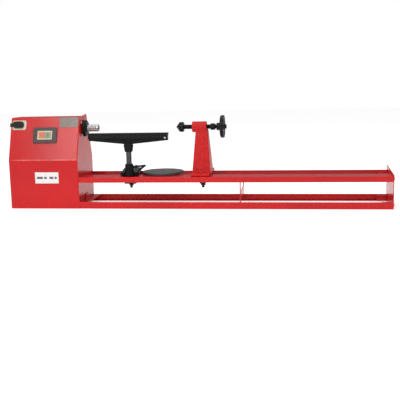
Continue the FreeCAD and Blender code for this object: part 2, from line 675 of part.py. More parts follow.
rail("front_upper_rail", [
    (FRONT, "rail_top - upper_web"), (f"{FRONT} + rail_wall", "rail_top - upper_web"),
    (f"{FRONT} + rail_wall", UNDERSIDE), (f"{FRONT} + front_flange", UNDERSIDE),
    (f"{FRONT} + front_flange", "rail_top"), (FRONT, "rail_top")])
rail("rear_upper_rail", [
    (BACK, "rail_top"), (f"{BACK} - rear_lip", "rail_top"), (f"{BACK} - rear_lip", UNDERSIDE),
    (f"{BACK} - rail_wall", UNDERSIDE), (f"{BACK} - rail_wall", "rail_top - upper_web + rail_wall"),
    (f"{BACK} - rear_ledge", "rail_top - upper_web + rail_wall"), (f"{BACK} - rear_ledge", "rail_top - upper_web"),
    (BACK, "rail_top - upper_web")])
for label, side, flange in (("front_lower_rail", -1, "lower_flange"), ("rear_lower_rail", 1, "rear_foot")):
    edge = f"{side} * depth / 2"
    rail(label, [(edge, 0), (f"{edge} - {side} * {flange}", 0), (f"{edge} - {side} * {flange}", "rail_wall"),
                 (f"{edge} - {side} * rail_wall", "rail_wall"), (f"{edge} - {side} * rail_wall", "lower_web"),
                 (edge, "lower_web")][::-side])

INNER = "(depth / 2 - rail_wall)"


def headstock_tie():
    """Angle across the foot of the side plate, lying on the lower rails' level."""
    flat = box("tie_flat", (HALF, f"-{INNER}", "lower_web - rail_wall"), ("tie_width", f"2 * {INNER}", "rail_wall"))
    upright = box("tie_upright", (HALF, "-lower_flange / 3", "lower_web"), ("rail_wall", "lower_flange * 2 / 3", 20))
    return fuse("tie_fused", flat, upright)


def tail_end_plate():
    """Plate closing the right end of the bed, higher at the back."""
    return move(plate("end_blank", "YZ_Plane", [
        (FRONT, 0), (BACK, 0), (BACK, "end_rear_height"), (FRONT, "end_front_height")], "end_plate"),
        f"{BED_RIGHT} - end_plate")


def mid_bracket():
    """U plate across the bed: a leg against each side and a web low enough for the clamp bolts to pass."""
    inner = f"({INNER} - bracket_leg)"
    rear_top = "rail_top - upper_web"
    return move(plate("bracket_blank", "YZ_Plane", [
        (f"-{INNER}", "rail_wall"), (f"-{inner}", "rail_wall"), (f"-{inner}", "bracket_low"),
        (inner, "bracket_low"), (inner, "rail_wall"), (INNER, "rail_wall"), (INNER, rear_top),
        (inner, rear_top), (inner, "bracket_high"), (f"-{inner}", "bracket_high"), (f"-{inner}", UNDERSIDE),
        (f"-{INNER}", UNDERSIDE)], "bracket_wall"), f"{HALF} + bracket_place")


def corner_brackets():
    """Angle blocks that join the rails' ends to the end plate, one in each corner of the frame."""
    left = f"({BED_RIGHT} - end_plate - corner_length)"
    heights = {"up": (f"{UNDERSIDE} - 14", 14), "down": ("rail_wall", "lower_web - rail_wall - 2")}
    blocks = []
    for key, (low, tall) in heights.items():
        blocks.append(box(f"corner_front_{key}", (left, f"-{INNER}", low), ("corner_length", "corner_width", tall)))
    blocks.append(box("corner_rear_down", (left, f"{INNER} - corner_width", "rail_wall"),
                      ("corner_length", "corner_width", "lower_web - rail_wall - 2")))
    blocks.append(box("corner_rear_up", (left, f"{INNER} - corner_width", "rail_top - upper_web + rail_wall"),
                      ("corner_length", "corner_width", "upper_web - 2 * rail_wall")))
    return group("corner_set", *blocks)


def end_bolt_places():
    """Where the bolts through the end plate stand, one in each corner bracket."""
    inset = f"({INNER} - corner_width / 2)"
    low = "lower_web / 2"
    high = f"{UNDERSIDE} - 7"
    return [(f"-{inset}", low), (inset, low), (f"-{inset}", high), (inset, high)]


def end_bolts():
    """Bolts through the end plate into the corner brackets."""
    return group("end_bolt_set", *[bolt(f"end_bolt_{i}", (BED_RIGHT, y, z), -1, "end_plate + 20")
                                   for i, (y, z) in enumerate(end_bolt_places())])


def drilled(name, base, places, start, length):
    """A piece with bolt holes along X at the places given."""
    holes = [rod(f"{name}_hole_{i}", (start, y, z), "bolt_radius", length) for i, (y, z) in enumerate(places)]
    return cut(name, base, *holes)


node("headstock_tie", headstock_tie())
node("tail_end_plate", drilled("end_drilled", tail_end_plate(), end_bolt_places(),
                               f"{BED_RIGHT} - end_plate - 1", "end_plate + 2"))
node("mid_bracket", mid_bracket())
node("corner_brackets", drilled("corner_drilled", corner_brackets(), end_bolt_places(),
                                f"{BED_RIGHT} - end_plate - 20", 21))
node("end_bolts", end_bolts())

# ---------------------------------------------------------------- clamps under the bed
def clamp_plate(name, x, stem_length):
    """Plate under the bed's flanges with a stem round the clamp bolt."""
    high = f"{UNDERSIDE} - gap"
    bar = box(name + "_bar", (f"({x}) - clamp_plate_length / 2", f"{FRONT} + clamp_front",
                              f"{high} - clamp_plate_thick"),
              ("clamp_plate_length", "depth - clamp_front - clamp_back - rail_wall", "clamp_plate_thick"))
    stem = box(name + "_stem", (f"({x}) - {stem_length} / 2", "-clamp_stem_half", "clamp_stem_low"),
               (stem_length, "2 * clamp_stem_half", f"{high} - clamp_stem_low"))
    hole = rod(name + "_hole", (x, 0, "clamp_stem_low - 1"), "clamp_bolt_radius", 60, "Z")
    return cut(name, fuse(name + "_all", bar, stem), hole)


def clamp_nut(name, x):
    """Nut under the clamp plate."""
    prism = move(hexagon(name + "_prism", "clamp_nut", "clamp_nut_height", "XY_Plane"), x, 0,
                 "clamp_stem_low - gap - clamp_nut_height")
    hole = rod(name + "_hole", (x, 0, "clamp_bolt_low - 10"), "clamp_bolt_radius + running_clearance", 40, "Z")
    return cut(name, prism, hole)


def clamp_bolt(name, x, high):
    """Bolt from the casting down through the clamp plate and the nut."""
    return rod(name, (x, 0, "clamp_bolt_low"), "clamp_bolt_radius", f"{high} - clamp_bolt_low", "Z")


BANJO_LOW = "(rail_top + gap)"
BANJO_HIGH = "(rail_top + gap + banjo_thick)"


def rest_clamp_bolt():
    """Banjo clamp bolt with its round head above the banjo."""
    shank = clamp_bolt("rest_shank", "rest_x", f"{BANJO_HIGH} + gap")
    head = rod("rest_head", ("rest_x", 0, f"{BANJO_HIGH} + gap"), 11, 6, "Z")
    return fuse("rest_bolt", shank, head)


node("rest_clamp_bolt", rest_clamp_bolt())
node("rest_clamp_plate", clamp_plate("rest_clamp", "rest_x", "rest_stem_length"))
node("rest_clamp_nut", clamp_nut("rest_nut", "rest_x"))

# ---------------------------------------------------------------- banjo and tool rest
def turned_with_banjo(item, x, y, z):
    """Place an object given in the banjo's own directions, its origin on the clamp bolt's axis."""
    base_turn = item.Placement.Rotation
    swing = FreeCAD.Rotation(V(0, 0, 1), size("banjo_turn"))
    item.Placement = FreeCAD.Placement(V(), swing.multiply(base_turn))
    return move(item, f"rest_x + ({x}) * cos(banjo_turn) - ({y}) * sin(banjo_turn)",
                f"({x}) * sin(banjo_turn) + ({y}) * cos(banjo_turn)", z)


def banjo_box(name, corner, spans):
    """Block in the banjo's own directions."""
    item = doc.addObject("Part::Box", name)
    bind(item, Length=spans[0], Width=spans[1], Height=spans[2])
    return turned_with_banjo(item, *corner)


def banjo_rod(name, start, radius, length, along):
    """Round bar in the banjo's own directions."""
    item = doc.addObject("Part::Cylinder", name)
    item.Placement = FreeCAD.Placement(V(), FreeCAD.Rotation(*TURNS[along]))
    bind(item, Radius=radius, Height=length)
    return turned_with_banjo(item, *start)


def banjo():
    """Slotted foot across the bed with the post's boss at its front."""
    foot = banjo_box("banjo_foot", ("-banjo_width / 2", "-post_reach", BANJO_LOW),
                     ("banjo_width", f"post_reach + {BACK} - foot_inset", "banjo_thick"))
    cone = doc.addObject("Part::Cone", "banjo_boss")
    bind(cone, Radius1="boss_foot", Radius2="boss_radius", Height=f"boss_high - {BANJO_LOW}")
    turned_with_banjo(cone, 0, "-post_reach", BANJO_LOW)
    slot = banjo_box("banjo_slot", ("-slot_half", "slot_front", f"{BANJO_LOW} - 1"),
                     ("2 * slot_half", "slot_back - slot_front", "banjo_thick + 2"))
    bore = banjo_rod("banjo_bore", (0, "-post_reach", f"{BANJO_LOW} + banjo_floor"),
                     "post_radius + running_clearance", 80, "Z")
    tapped = banjo_rod("banjo_tapped", (0, "-post_reach", "lock_z"), "lock_radius + running_clearance", 40, "X")
    return cut("banjo_cut", fuse("banjo_all", foot, cone), slot, bore, tapped)


def slot_block():
    """Block on the clamp bolt that keeps the banjo's slot in line."""
    block = banjo_box("block_blank", ("-block_half", "-block_length / 2", BANJO_LOW),
                      ("2 * block_half", "block_length", "banjo_thick"))
    hole = rod("block_hole", ("rest_x", 0, 100), "clamp_bolt_radius + running_clearance", 60, "Z")
    return cut("block_cut", block, hole)


POST_X = "(rest_x + post_reach * sin(banjo_turn))"
POST_Y = "(-post_reach * cos(banjo_turn))"


def tool_rest():
    """Rest: a deep web under a sloping shelf, on a tapered boss that fits the post."""
    half = "rest_length / 2"
    web = move(plate("rest_web_blank", "XZ_Plane", [
        (f"-{half}", "rest_high - rest_end_height"), ("-rest_boss_top_radius", "rest_high - rest_mid_height"),
        ("rest_boss_top_radius", "rest_high - rest_mid_height"), (half, "rest_high - rest_end_height"),
        (half, "rest_high"), (f"-{half}", "rest_high")], "rest_web"), POST_X, f"{POST_Y} - rest_web / 2", 0)
    shelf = move(plate("rest_shelf_blank", "YZ_Plane", [
        ("-rest_web / 2", "rest_high - 20"), ("rest_shelf - 4", "rest_high - 5"), ("rest_shelf", "rest_high"),
        ("-rest_web / 2", "rest_high"), ("-rest_web / 2 - 10", "rest_high - 14"),
        ("-rest_web / 2 - 10", "rest_high - 20")], "rest_length"), f"{POST_X} - {half}", POST_Y, 0)
    boss = doc.addObject("Part::Cone", "rest_boss")
    bind(boss, Radius1="rest_boss_radius", Radius2="rest_boss_top_radius",
         Height="rest_high - rest_mid_height + 4 - rest_boss_low")
    move(boss, POST_X, POST_Y, "rest_boss_low")
    bore = rod("rest_bore", (POST_X, POST_Y, "rest_boss_low - 1"), "post_radius + running_clearance",
               "post_high + gap - rest_boss_low + 1", "Z")
    return cut("rest_cut", fuse("rest_all", web, shelf, boss), bore)


def lock_lever():
    """Screw that holds the post, and its handle: a bar bent back on itself, from a hub on the screw's end."""
    root = V(size("boss_radius") + size("lock_reach") + 2, -size("post_reach"), size("lock_z"))
    tip = root + V(size("lever_length"), 0, 3)
    tail = root + V(size("lever_length") * 0.25, 0, -size("lever_drop") + 3)
    bars = []
    for start, end in ((root, tip), (tip, tail)):
        bars.append(Part.makeCylinder(size("lever_radius"), (end - start).Length, start, end - start))
        bars.append(Part.makeSphere(size("lever_radius"), end))
    hub = Part.makeCylinder(6, 8, root - V(2, 0, 0), V(1, 0, 0))
    start = size("post_radius") + size("gap")
    screw = Part.makeCylinder(size("lock_radius"), root.x - start, V(start, root.y, root.z), V(1, 0, 0))
    item = doc.addObject("Part::Feature", "lever")
    item.Shape = bars[0].fuse(bars[1:] + [hub, screw]).removeSplitter()
    item.Placement = FreeCAD.Placement(V(size("rest_x"), 0, 0),
                                       FreeCAD.Rotation(V(0, 0, 1), size("banjo_turn")))
    return item


node("banjo", banjo())
node("slot_block", slot_block())
node("rest_post", rod("post_rod", (POST_X, POST_Y, "post_low"), "post_radius", "post_high - post_low", "Z"))
node("tool_rest", tool_rest())
node("lock_lever", lock_lever())

# ---------------------------------------------------------------- faceplate lying on the bed
PLATE_LOW = "(rail_top + gap)"
PLATE_Y = f"({BACK} - rear_lip - plate_radius + plate_overlap)"


def faceplate():
    """Faceplate with its threaded hub down between the rails and a ring of screw holes."""
    disc = move(turned("faceplate_body", [
        (f"{PLATE_LOW} - hub_depth", "nose_radius + running_clearance"), (f"{PLATE_LOW} - hub_depth", "hub_radius"),
        (PLATE_LOW, "hub_radius"), (PLATE_LOW, "plate_radius - 1"), (f"{PLATE_LOW} + 1", "plate_radius"),
        (f"{PLATE_LOW} + plate_disc - 2", "plate_radius"), (f"{PLATE_LOW} + plate_disc", "plate_radius - 2"),
        (f"{PLATE_LOW} + plate_disc", "centre_hole"), (f"{PLATE_LOW} + plate_disc - 4", "centre_hole"),
        (f"{PLATE_LOW} + plate_disc - 4", "nose_radius + running_clearance")], "Z"), "plate_x", PLATE_Y, 0)
    holes = [rod(f"face_hole_{i}", (f"plate_x + screw_circle * cos({60 * i})",
                                    f"{PLATE_Y} + screw_circle * sin({60 * i})", f"{PLATE_LOW} - 1"),
                 "screw_hole", "plate_disc + 2", "Z") for i in range(6)]
    return cut("faceplate_cut", disc, *holes)


node("faceplate", faceplate())

# ---------------------------------------------------------------- tailstock
TAIL_LEFT = "(tail_x - tail_length / 2)"
TAIL_HIGH = "(rail_top + gap + tail_base)"


def tailstock_casting():
    """Cast upright: foot on the rails, tapering column and a bored barrel."""
    foot = box("tail_foot", (TAIL_LEFT, f"{FRONT} + tail_inset", "rail_top + gap"),
               ("tail_length", "depth - 2 * tail_inset", "tail_base"))
    key = box("tail_key", (f"{TAIL_LEFT} + 8", f"{FRONT} + front_flange + gap", f"{UNDERSIDE} + gap / 2"),
              ("tail_length - 16", 10, f"rail_wall + gap + 1"))
    column = doc.addObject("Part::Wedge", "tail_column")
    column.Placement = FreeCAD.Placement(V(), FreeCAD.Rotation(V(1, 0, 0), 90))
    bind(column, Xmin="-tail_length / 2", Xmax="tail_length / 2", Zmin="-column_depth / 2", Zmax="column_depth / 2",
         Ymin=0, Ymax=f"{AXIS} - barrel_radius / 2 - {TAIL_HIGH} + 1")
    bind(column, X2min="-neck_length / 2", X2max="neck_length / 2", Z2min="-neck_depth / 2",
         Z2max="neck_depth / 2")
    move(column, "tail_x", 0, f"{TAIL_HIGH} - 1")
    barrel = rod("tail_barrel", ("barrel_left", 0, AXIS), "barrel_radius", "barrel_length")
    bore = rod("tail_bore", ("barrel_left - 1", 0, AXIS), "screw_radius + running_clearance", "barrel_length + 12")
    hole = rod("tail_stud_hole", ("tail_x", 0, "rail_top - 5"), "clamp_bolt_radius", f"{TAIL_HIGH} + 10 - rail_top + 5", "Z")
    return cut("tail_cut", fuse("tail_all", foot, key, column, barrel), bore, hole)


def tail_screw():
    """Feed screw through the barrel, with the handwheel's seat at its right end."""
    return move(turned("screw_body", [
        ("screw_left", 0), ("screw_left", "screw_radius"), ("screw_seat", "screw_radius"),
        ("screw_seat", "screw_seat_radius"), ("wheel_right", "screw_seat_radius"), ("wheel_right", 5),
        ("screw_end + 2", 5), ("screw_end + 2", 0)]), 0, 0, AXIS)


def handwheel():
    """Lobed handwheel on the screw."""
    body = turned("wheel_body", [
        ("screw_seat", "screw_seat_radius"), ("screw_seat", "wheel_hub"), ("wheel_rim_left", "wheel_hub"),
        ("wheel_rim_left + 3", "wheel_radius - 12"), ("wheel_rim_left", "wheel_radius - 7"),
        ("wheel_rim_left + 2", "wheel_radius - 1"), ("wheel_rim_left + 5", "wheel_radius"),
        ("wheel_right - 6", "wheel_radius"), ("wheel_right - 3", "wheel_radius - 1"),
        ("wheel_right - 3", "wheel_radius - 8"), ("wheel_right - 6", "wheel_radius - 12"),
        ("wheel_right - 4", "wheel_hub"), ("wheel_right", "wheel_hub - 2"), ("wheel_right", "screw_seat_radius")])
    sketch = body.newObject("Sketcher::SketchObject", "lobe_circle")
    plane = [f for f in body.Origin.OriginFeatures if f.Role == "YZ_Plane"][0]
    sketch.AttachmentSupport = [(plane, "")]
    sketch.MapMode = "FlatFace"
    sketch.addGeometry(Part.Circle(V(0, 49, 0), V(0, 0, 1), 11), False)
    radius = sketch.addConstraint(Sketcher.Constraint("Radius", 0, 11))
    sketch.setExpression(f"Constraints[{radius}]", formula("lobe_cut"))
    sketch.addConstraint(Sketcher.Constraint("PointOnObject", 0, 3, -2))
    height = sketch.addConstraint(Sketcher.Constraint("DistanceY", -1, 1, 0, 3, 49))
    sketch.setExpression(f"Constraints[{height}]", formula("lobe_place"))
    notch = body.newObject("PartDesign::Pocket", "notch")
    notch.Profile = sketch
    notch.Reversed = True
    bind(notch, Length="wheel_right + 10")
    pattern = body.newObject("PartDesign::PolarPattern", "notches")
    pattern.Originals = [notch]
    axis = [f for f in body.Origin.OriginFeatures if f.Role == "X_Axis"][0]
    pattern.Axis = (axis, [""])
    pattern.Angle = 360
    pattern.Occurrences = int(size("lobe_count"))
    body.Tip = pattern
    return move(body, 0, 0, AXIS)


def acorn_nut():
    """Nut that keeps the handwheel on the screw."""
    prism = move(hexagon("acorn_prism", "acorn_radius", 5, "YZ_Plane"), "wheel_right", 0, AXIS)
    return cut("acorn", prism, rod("acorn_bore", ("wheel_right - 1", 0, AXIS), 5, 10))


def tail_lock_nut():
    """Nut that locks the screw against the barrel."""
    prism = move(hexagon("lock_prism", "lock_nut_radius", "lock_nut_width", "YZ_Plane"), "lock_nut_left", 0, AXIS)
    return cut("lock_nut_cut", prism, rod("lock_nut_bore", ("lock_nut_left - 1", 0, AXIS),
                                          "screw_radius + running_clearance", "lock_nut_width + 2"))


def live_centre_housing():
    """Round housing on the screw's end that carries the turning point."""
    bore = "stub_radius + running_clearance"
    return move(turned("live_body", [
        ("centre_base + 1", bore), ("centre_base + 1", "live_radius"), ("live_right - 3", "live_radius"),
        ("live_right", "live_radius - 3"), ("live_right", "screw_radius + running_clearance"),
        ("screw_left - gap", "screw_radius + running_clearance"), ("screw_left - gap", bore)]), 0, 0, AXIS)


def centre_point():
    """Turning point: a cone on a short stub."""
    return move(turned("point_body", [
        ("centre_tip", 0), ("centre_tip", 1), ("centre_base - 4", "centre_radius"), ("centre_base", "centre_radius"),
        ("centre_base", "stub_radius"), ("screw_left - 2 * gap", "stub_radius"), ("screw_left - 2 * gap", 0)]),
        0, 0, AXIS)


node("tailstock_casting", tailstock_casting())
node("tail_clamp_bolt", clamp_bolt("tail_stud", "tail_x", f"{TAIL_HIGH} + 10"))
node("tail_clamp_plate", clamp_plate("tail_clamp", "tail_x", "tail_stem_length"))
node("tail_clamp_nut", clamp_nut("tail_nut", "tail_x"))
node("tail_screw", tail_screw())
node("handwheel", handwheel())
node("acorn_nut", acorn_nut())
node("tail_lock_nut", tail_lock_nut())
node("live_centre_housing", live_centre_housing())
node("centre_point", centre_point())

# ---------------------------------------------------------------- checks and export
doc.recompute()
for item in doc.Objects:
    if "Invalid" in item.State or "Error" in item.State:
        raise RuntimeError(f"{item.Name} failed: {item.State}")
for label, item in nodes.items():
    if item.Shape.isNull() or not item.Shape.isValid() or not item.Shape.Solids:
        raise RuntimeError(f"{label} has no valid solid")

os.makedirs("parts", exist_ok=True)
for label, item in nodes.items():
    item.Shape.exportStep(f"parts/{label}.step")
    print(f"{label}: {len(item.Shape.Solids)} solid(s), {item.Shape.Volume / 1000:.1f} cm3")
print(len(nodes), "sub-parts")
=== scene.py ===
"""Bench wood lathe: soft-edged sheet metal, rough castings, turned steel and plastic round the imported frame.

Lengths are metres in the frame's own axes: +X runs along the bed to the tailstock, +Y away from the
operator and +Z up. Each sub-assembly is a class that models its pieces and dresses the nodes it keeps.
"""
import json
import logging
import math
from dataclasses import dataclass
from enum import Enum
from typing import Callable, Sequence

import bmesh
import bpy
from mathutils import Matrix, Vector


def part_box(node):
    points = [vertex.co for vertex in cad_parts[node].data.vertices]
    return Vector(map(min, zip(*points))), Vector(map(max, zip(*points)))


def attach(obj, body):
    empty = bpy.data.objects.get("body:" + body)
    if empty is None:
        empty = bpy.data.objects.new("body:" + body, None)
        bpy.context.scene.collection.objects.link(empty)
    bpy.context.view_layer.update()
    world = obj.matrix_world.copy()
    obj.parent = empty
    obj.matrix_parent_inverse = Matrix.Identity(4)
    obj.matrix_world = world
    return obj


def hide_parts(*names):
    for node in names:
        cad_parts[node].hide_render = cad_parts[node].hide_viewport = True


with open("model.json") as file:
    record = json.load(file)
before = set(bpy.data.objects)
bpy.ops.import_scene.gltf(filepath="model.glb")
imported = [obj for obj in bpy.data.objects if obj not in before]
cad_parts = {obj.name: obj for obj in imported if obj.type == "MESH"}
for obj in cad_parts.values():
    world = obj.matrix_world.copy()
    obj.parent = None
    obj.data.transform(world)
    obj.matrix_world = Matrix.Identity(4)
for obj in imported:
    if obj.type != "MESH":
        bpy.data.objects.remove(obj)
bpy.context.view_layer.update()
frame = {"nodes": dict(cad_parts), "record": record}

MM = 0.001
LOG = logging.getLogger("lathe")

Colour = tuple[float, float, float]
Point = tuple[float, float, float]


class Run(Enum):
    """Axis that a turned shape or a ring pattern runs along."""

    X = 0
    Y = 1
    Z = 2

    @property
    def along(self) -> Vector:
        """Unit vector of the axis."""
        return Vector([float(i == self.value) for i in range(3)])

    @property
    def aside(self) -> Vector:
        """Unit vector at right angles to the axis."""
        return Vector([float(i == (self.value + 1) % 3) for i in range(3)])


class Rule(Enum):
    """Which edges a softening pass rounds over."""

    ALL = "all"
    OUTER = "outer"


# ------------------------------------------------------------------ finishes
class Signal:
    """Number carried by a node socket; arithmetic on it adds Math nodes."""

    def __init__(self, graph: "Graph", socket: bpy.types.NodeSocket) -> None:
        """Remember the graph and the output socket."""
        self.graph = graph
        self.socket = socket

    def math(self, operation: str, *values: "Signal | float") -> "Signal":
        """Result of one Math node on the given values."""
        return self.graph.add("ShaderNodeMath", {"operation": operation}, dict(enumerate(values)))

    def __add__(self, other: "Signal | float") -> "Signal":
        """Sum of the two."""
        return self.math("ADD", self, other)

    def __radd__(self, other: float) -> "Signal":
        """Sum with a number on the left."""
        return self.math("ADD", other, self)

    def __sub__(self, other: "Signal | float") -> "Signal":
        """Difference of the two."""
        return self.math("SUBTRACT", self, other)

    def __rsub__(self, other: float) -> "Signal":
        """A number less this signal."""
        return self.math("SUBTRACT", other, self)

    def __mul__(self, other: "Signal | float") -> "Signal":
        """Product of the two."""
        return self.math("MULTIPLY", self, other)

    def __rmul__(self, other: float) -> "Signal":
        """Product with a number on the left."""
        return self.math("MULTIPLY", other, self)

    def __truediv__(self, other: "Signal | float") -> "Signal":
        """Quotient of the two."""
        return self.math("DIVIDE", self, other)

    def __pow__(self, other: "Signal | float") -> "Signal":
        """This signal to a power."""
        return self.math("POWER", self, other)

    def __lt__(self, other: "Signal | float") -> "Signal":
        """1 where this signal is less than the other."""
        return self.math("LESS_THAN", self, other)

    def sine(self) -> "Signal":
        """Sine of the signal, read as radians."""
        return self.math("SINE", self)

    def fraction(self) -> "Signal":
        """What is left after the whole number is taken off."""
        return self.math("FRACT", self)

    def whole(self) -> "Signal":
        """The whole number below the signal."""
        return self.math("FLOOR", self)

    def size(self) -> "Signal":
        """The signal without its sign."""
        return self.math("ABSOLUTE", self)

    def between(self, low: float, high: float) -> "Signal":
        """0 at low, 1 at high and clamped outside."""
        return self.graph.add("ShaderNodeMapRange", {"clamp": True}, {0: self, 1: low, 2: high})


class Graph:
    """Nodes of a material or of the surroundings while they are put together."""

    def __init__(self, tree: bpy.types.NodeTree) -> None:
        """Remember the tree that nodes are added to."""
        self.tree = tree

    def set(self, node: bpy.types.Node, inputs: dict) -> None:
        """Fill sockets of a node with values or links.

        Args:
            node: Node whose inputs are filled.
            inputs: Socket name or number, and the number, colour, vector or Signal it gets.
        """
        for key, value in inputs.items():
            if isinstance(value, Signal):
                self.tree.links.new(value.socket, node.inputs[key])
            elif isinstance(value, tuple) and len(node.inputs[key].default_value) == 4:
                node.inputs[key].default_value = (*value[:3], 1.0)
            else:
                node.inputs[key].default_value = value

    def add(self, kind: str, settings: dict | None = None, inputs: dict | None = None,
            out: int = 0) -> Signal:
        """Add one node.

        Args:
            kind: Node type.
            settings: Properties set before the sockets.
            inputs: Socket values and links.
            out: Number of the output to hand back.

        Returns:
            The output as a Signal.
        """
        node = self.tree.nodes.new(kind)
        for key, value in (settings or {}).items():
            setattr(node, key, value)
        self.set(node, inputs or {})
        return Signal(self, node.outputs[out])

    def axis(self, spot: Signal, run: Run) -> Signal:
        """One coordinate of a place."""
        return self.add("ShaderNodeSeparateXYZ", None, {0: spot}, out=run.value)


class Recipe(Graph):
    """A material while its nodes are put together."""

    def __init__(self, name: str) -> None:
        """Start a material that holds one Principled shader.

        Args:
            name: What the material is called.
        """
        self.material = bpy.data.materials.new(name)
        self.material.use_nodes = True
        super().__init__(self.material.node_tree)
        self.tree.nodes.clear()
        self.shader = self.tree.nodes.new("ShaderNodeBsdfPrincipled")
        output = self.tree.nodes.new("ShaderNodeOutputMaterial")
        self.tree.links.new(self.shader.outputs[0], output.inputs[0])

    def place(self, matrix: Matrix | None = None, stretch: Point = (1, 1, 1)) -> Signal:
        """Object coordinates, seen from a local frame.

        Args:
            matrix: Place and turn of the local frame.
            stretch: Factor on each axis after the move.

        Returns:
            The coordinates as a vector Signal.
        """
        spot = self.add("ShaderNodeTexCoord", out=3)
        if matrix is not None:
            back = matrix.inverted()
            spot = self.add("ShaderNodeMapping", None, {
                0: spot, 1: tuple(back.to_translation()), 2: tuple(back.to_euler())})
        if stretch != (1, 1, 1):
            spot = self.add("ShaderNodeVectorMath", {"operation": "MULTIPLY"}, {0: spot, 1: stretch})
        return spot

    def noise(self, scale: float, detail: float = 2.0, rough: float = 0.5,
              spot: Signal | None = None) -> Signal:
        """Smooth random pattern from 0 to 1.

        Args:
            scale: Features to the metre.
            detail: Octaves.
            rough: Weight of the small octaves.
            spot: Coordinates, the object's own when left out.

        Returns:
            The pattern.
        """
        return self.add("ShaderNodeTexNoise", None, {
            "Vector": spot or self.place(), "Scale": scale, "Detail": detail, "Roughness": rough})

    def blend(self, share: "Signal | float", first: "Signal | Colour", second: "Signal | Colour") -> Signal:
        """Colour between two colours, by a share from 0 to 1."""
        return self.add("ShaderNodeMix", {"data_type": "RGBA"}, {0: share, 6: first, 7: second}, out=2)

    def relief(self, height: Signal, depth: float, under: Signal | None = None) -> Signal:
        """Surface normal of a small relief.

        Args:
            height: Height from 0 to 1.
            depth: Depth in metres that 1 stands for.
            under: Normal of a coarser relief below this one.

        Returns:
            The normal.
        """
        inputs = {"Height": height, "Distance": depth, "Strength": 1.0}
        if under is not None:
            inputs["Normal"] = under
        return self.add("ShaderNodeBump", None, inputs)

    def finish(self, inputs: dict) -> bpy.types.Material:
        """Fill the shader's sockets and hand the material back."""
        self.set(self.shader, inputs)
        return self.material


def tone(colour: Colour, factor: float) -> Colour:
    """The colour made lighter or darker."""
    return tuple(min(1.0, c * factor) for c in colour)


@dataclass(frozen=True)
class Enamel:
    """Gloss powder coat on sheet metal: orange peel, faint flow, handling marks and a painted highlight along
    a crease.

    A crease is the height of a bend along which a pale colour is painted as a highlight; below zero there is
    none.
    """

    name: str
    colour: Colour
    gloss: float = 0.24
    coat: float = 0.12
    peel: float = 0.00016
    swell: float = 0.00022
    sag: float = 0.0008
    marks: float = 0.25
    # The last three fields place and colour a painted highlight along a bend.
    crease: float = -1.0
    crease_reach: float = 0.0022
    crease_glint_colour: Colour = (1.0, 0.42, 0.36)

    def make(self) -> bpy.types.Material:
        """Build the material.

        Returns:
            The finished material.
        """
        r = Recipe(self.name)
        flow = r.noise(5.0, 3.0)
        peel = r.noise(330.0, 1.0)
        rubbed = r.noise(38.0, 8.0, 0.65).between(0.56, 0.78) * self.marks
        specks = r.noise(1500.0, 0.0).between(0.74, 0.80)
        base = r.blend(flow.between(0.3, 0.7), tone(self.colour, 0.90), tone(self.colour, 1.08))
        base = r.blend(rubbed * 0.5, base, tone(self.colour, 1.45))
        base = r.blend(specks * 0.35, base, tone(self.colour, 0.55))
        # Painted highlight: a pale pink line along the crease, broken by noise, stands in for the light the
        # bend catches.
        if self.crease > 0:
            height = r.axis(r.place(), Run.Z)
            near = (height - self.crease).size().between(self.crease_reach, self.crease_reach * 0.3)
            wear_and_glint = near * r.noise(45.0, 4.0, 0.6).between(0.30, 0.62)
            base = r.blend(wear_and_glint * 0.6, base, self.crease_glint_colour)
        rough = self.gloss + rubbed * 0.30 + (peel - 0.5) * 0.10
        swell = r.relief(r.noise(110.0, 1.0), self.swell, r.relief(flow, self.sag))
        return r.finish({
            "Base Color": base, "Roughness": rough, "Coat Weight": self.coat - rubbed * 0.1,
            "Coat Roughness": 0.12, "Specular IOR Level": 0.26,
            "Normal": r.relief(peel, self.peel, swell)})


@dataclass(frozen=True)
class Casting:
    """Paint over a sand casting: coarse grains and shallow pits, with painted highlights on the grain tops and
    painted shade in the pits.
    """

    name: str
    colour: Colour
    gloss: float = 0.38
    grain: float = 0.00054
    pits: float = 0.00042
    lump: float = 0.0016
    coat: float = 0.05
    shine: float = 0.25

    def make(self) -> bpy.types.Material:
        """Build the material.

        Returns:
            The finished material.
        """
        r = Recipe(self.name)
        lumps = r.noise(95.0, 3.0, 0.6)
        grains = r.noise(420.0, 2.0, 0.6)
        pits = r.add("ShaderNodeTexVoronoi", {"feature": "SMOOTH_F1"}, {
            "Vector": r.place(), "Scale": 230.0, "Smoothness": 0.6})
        hollow = pits.between(0.10, 0.42)
        base = r.blend(lumps.between(0.3, 0.7), tone(self.colour, 0.72), tone(self.colour, 1.15))
        # Painted highlight: the tops of the grains are lightened.
        base = r.blend(grains.between(0.60, 0.74) * 0.35, base, tone(self.colour, 1.9))
        # Painted shade: the pits are darkened.
        base = r.blend((1.0 - hollow) * 0.35, base, tone(self.colour, 0.5))
        rough = self.gloss + (grains - 0.5) * 0.3 + (1.0 - hollow) * 0.12
        coarse = r.relief(lumps, self.lump)
        return r.finish({
            "Base Color": base, "Roughness": rough, "Coat Weight": self.coat, "Coat Roughness": 0.25,
            "Specular IOR Level": self.shine,
            "Normal": r.relief(grains, self.grain, r.relief(hollow, self.pits, coarse))})


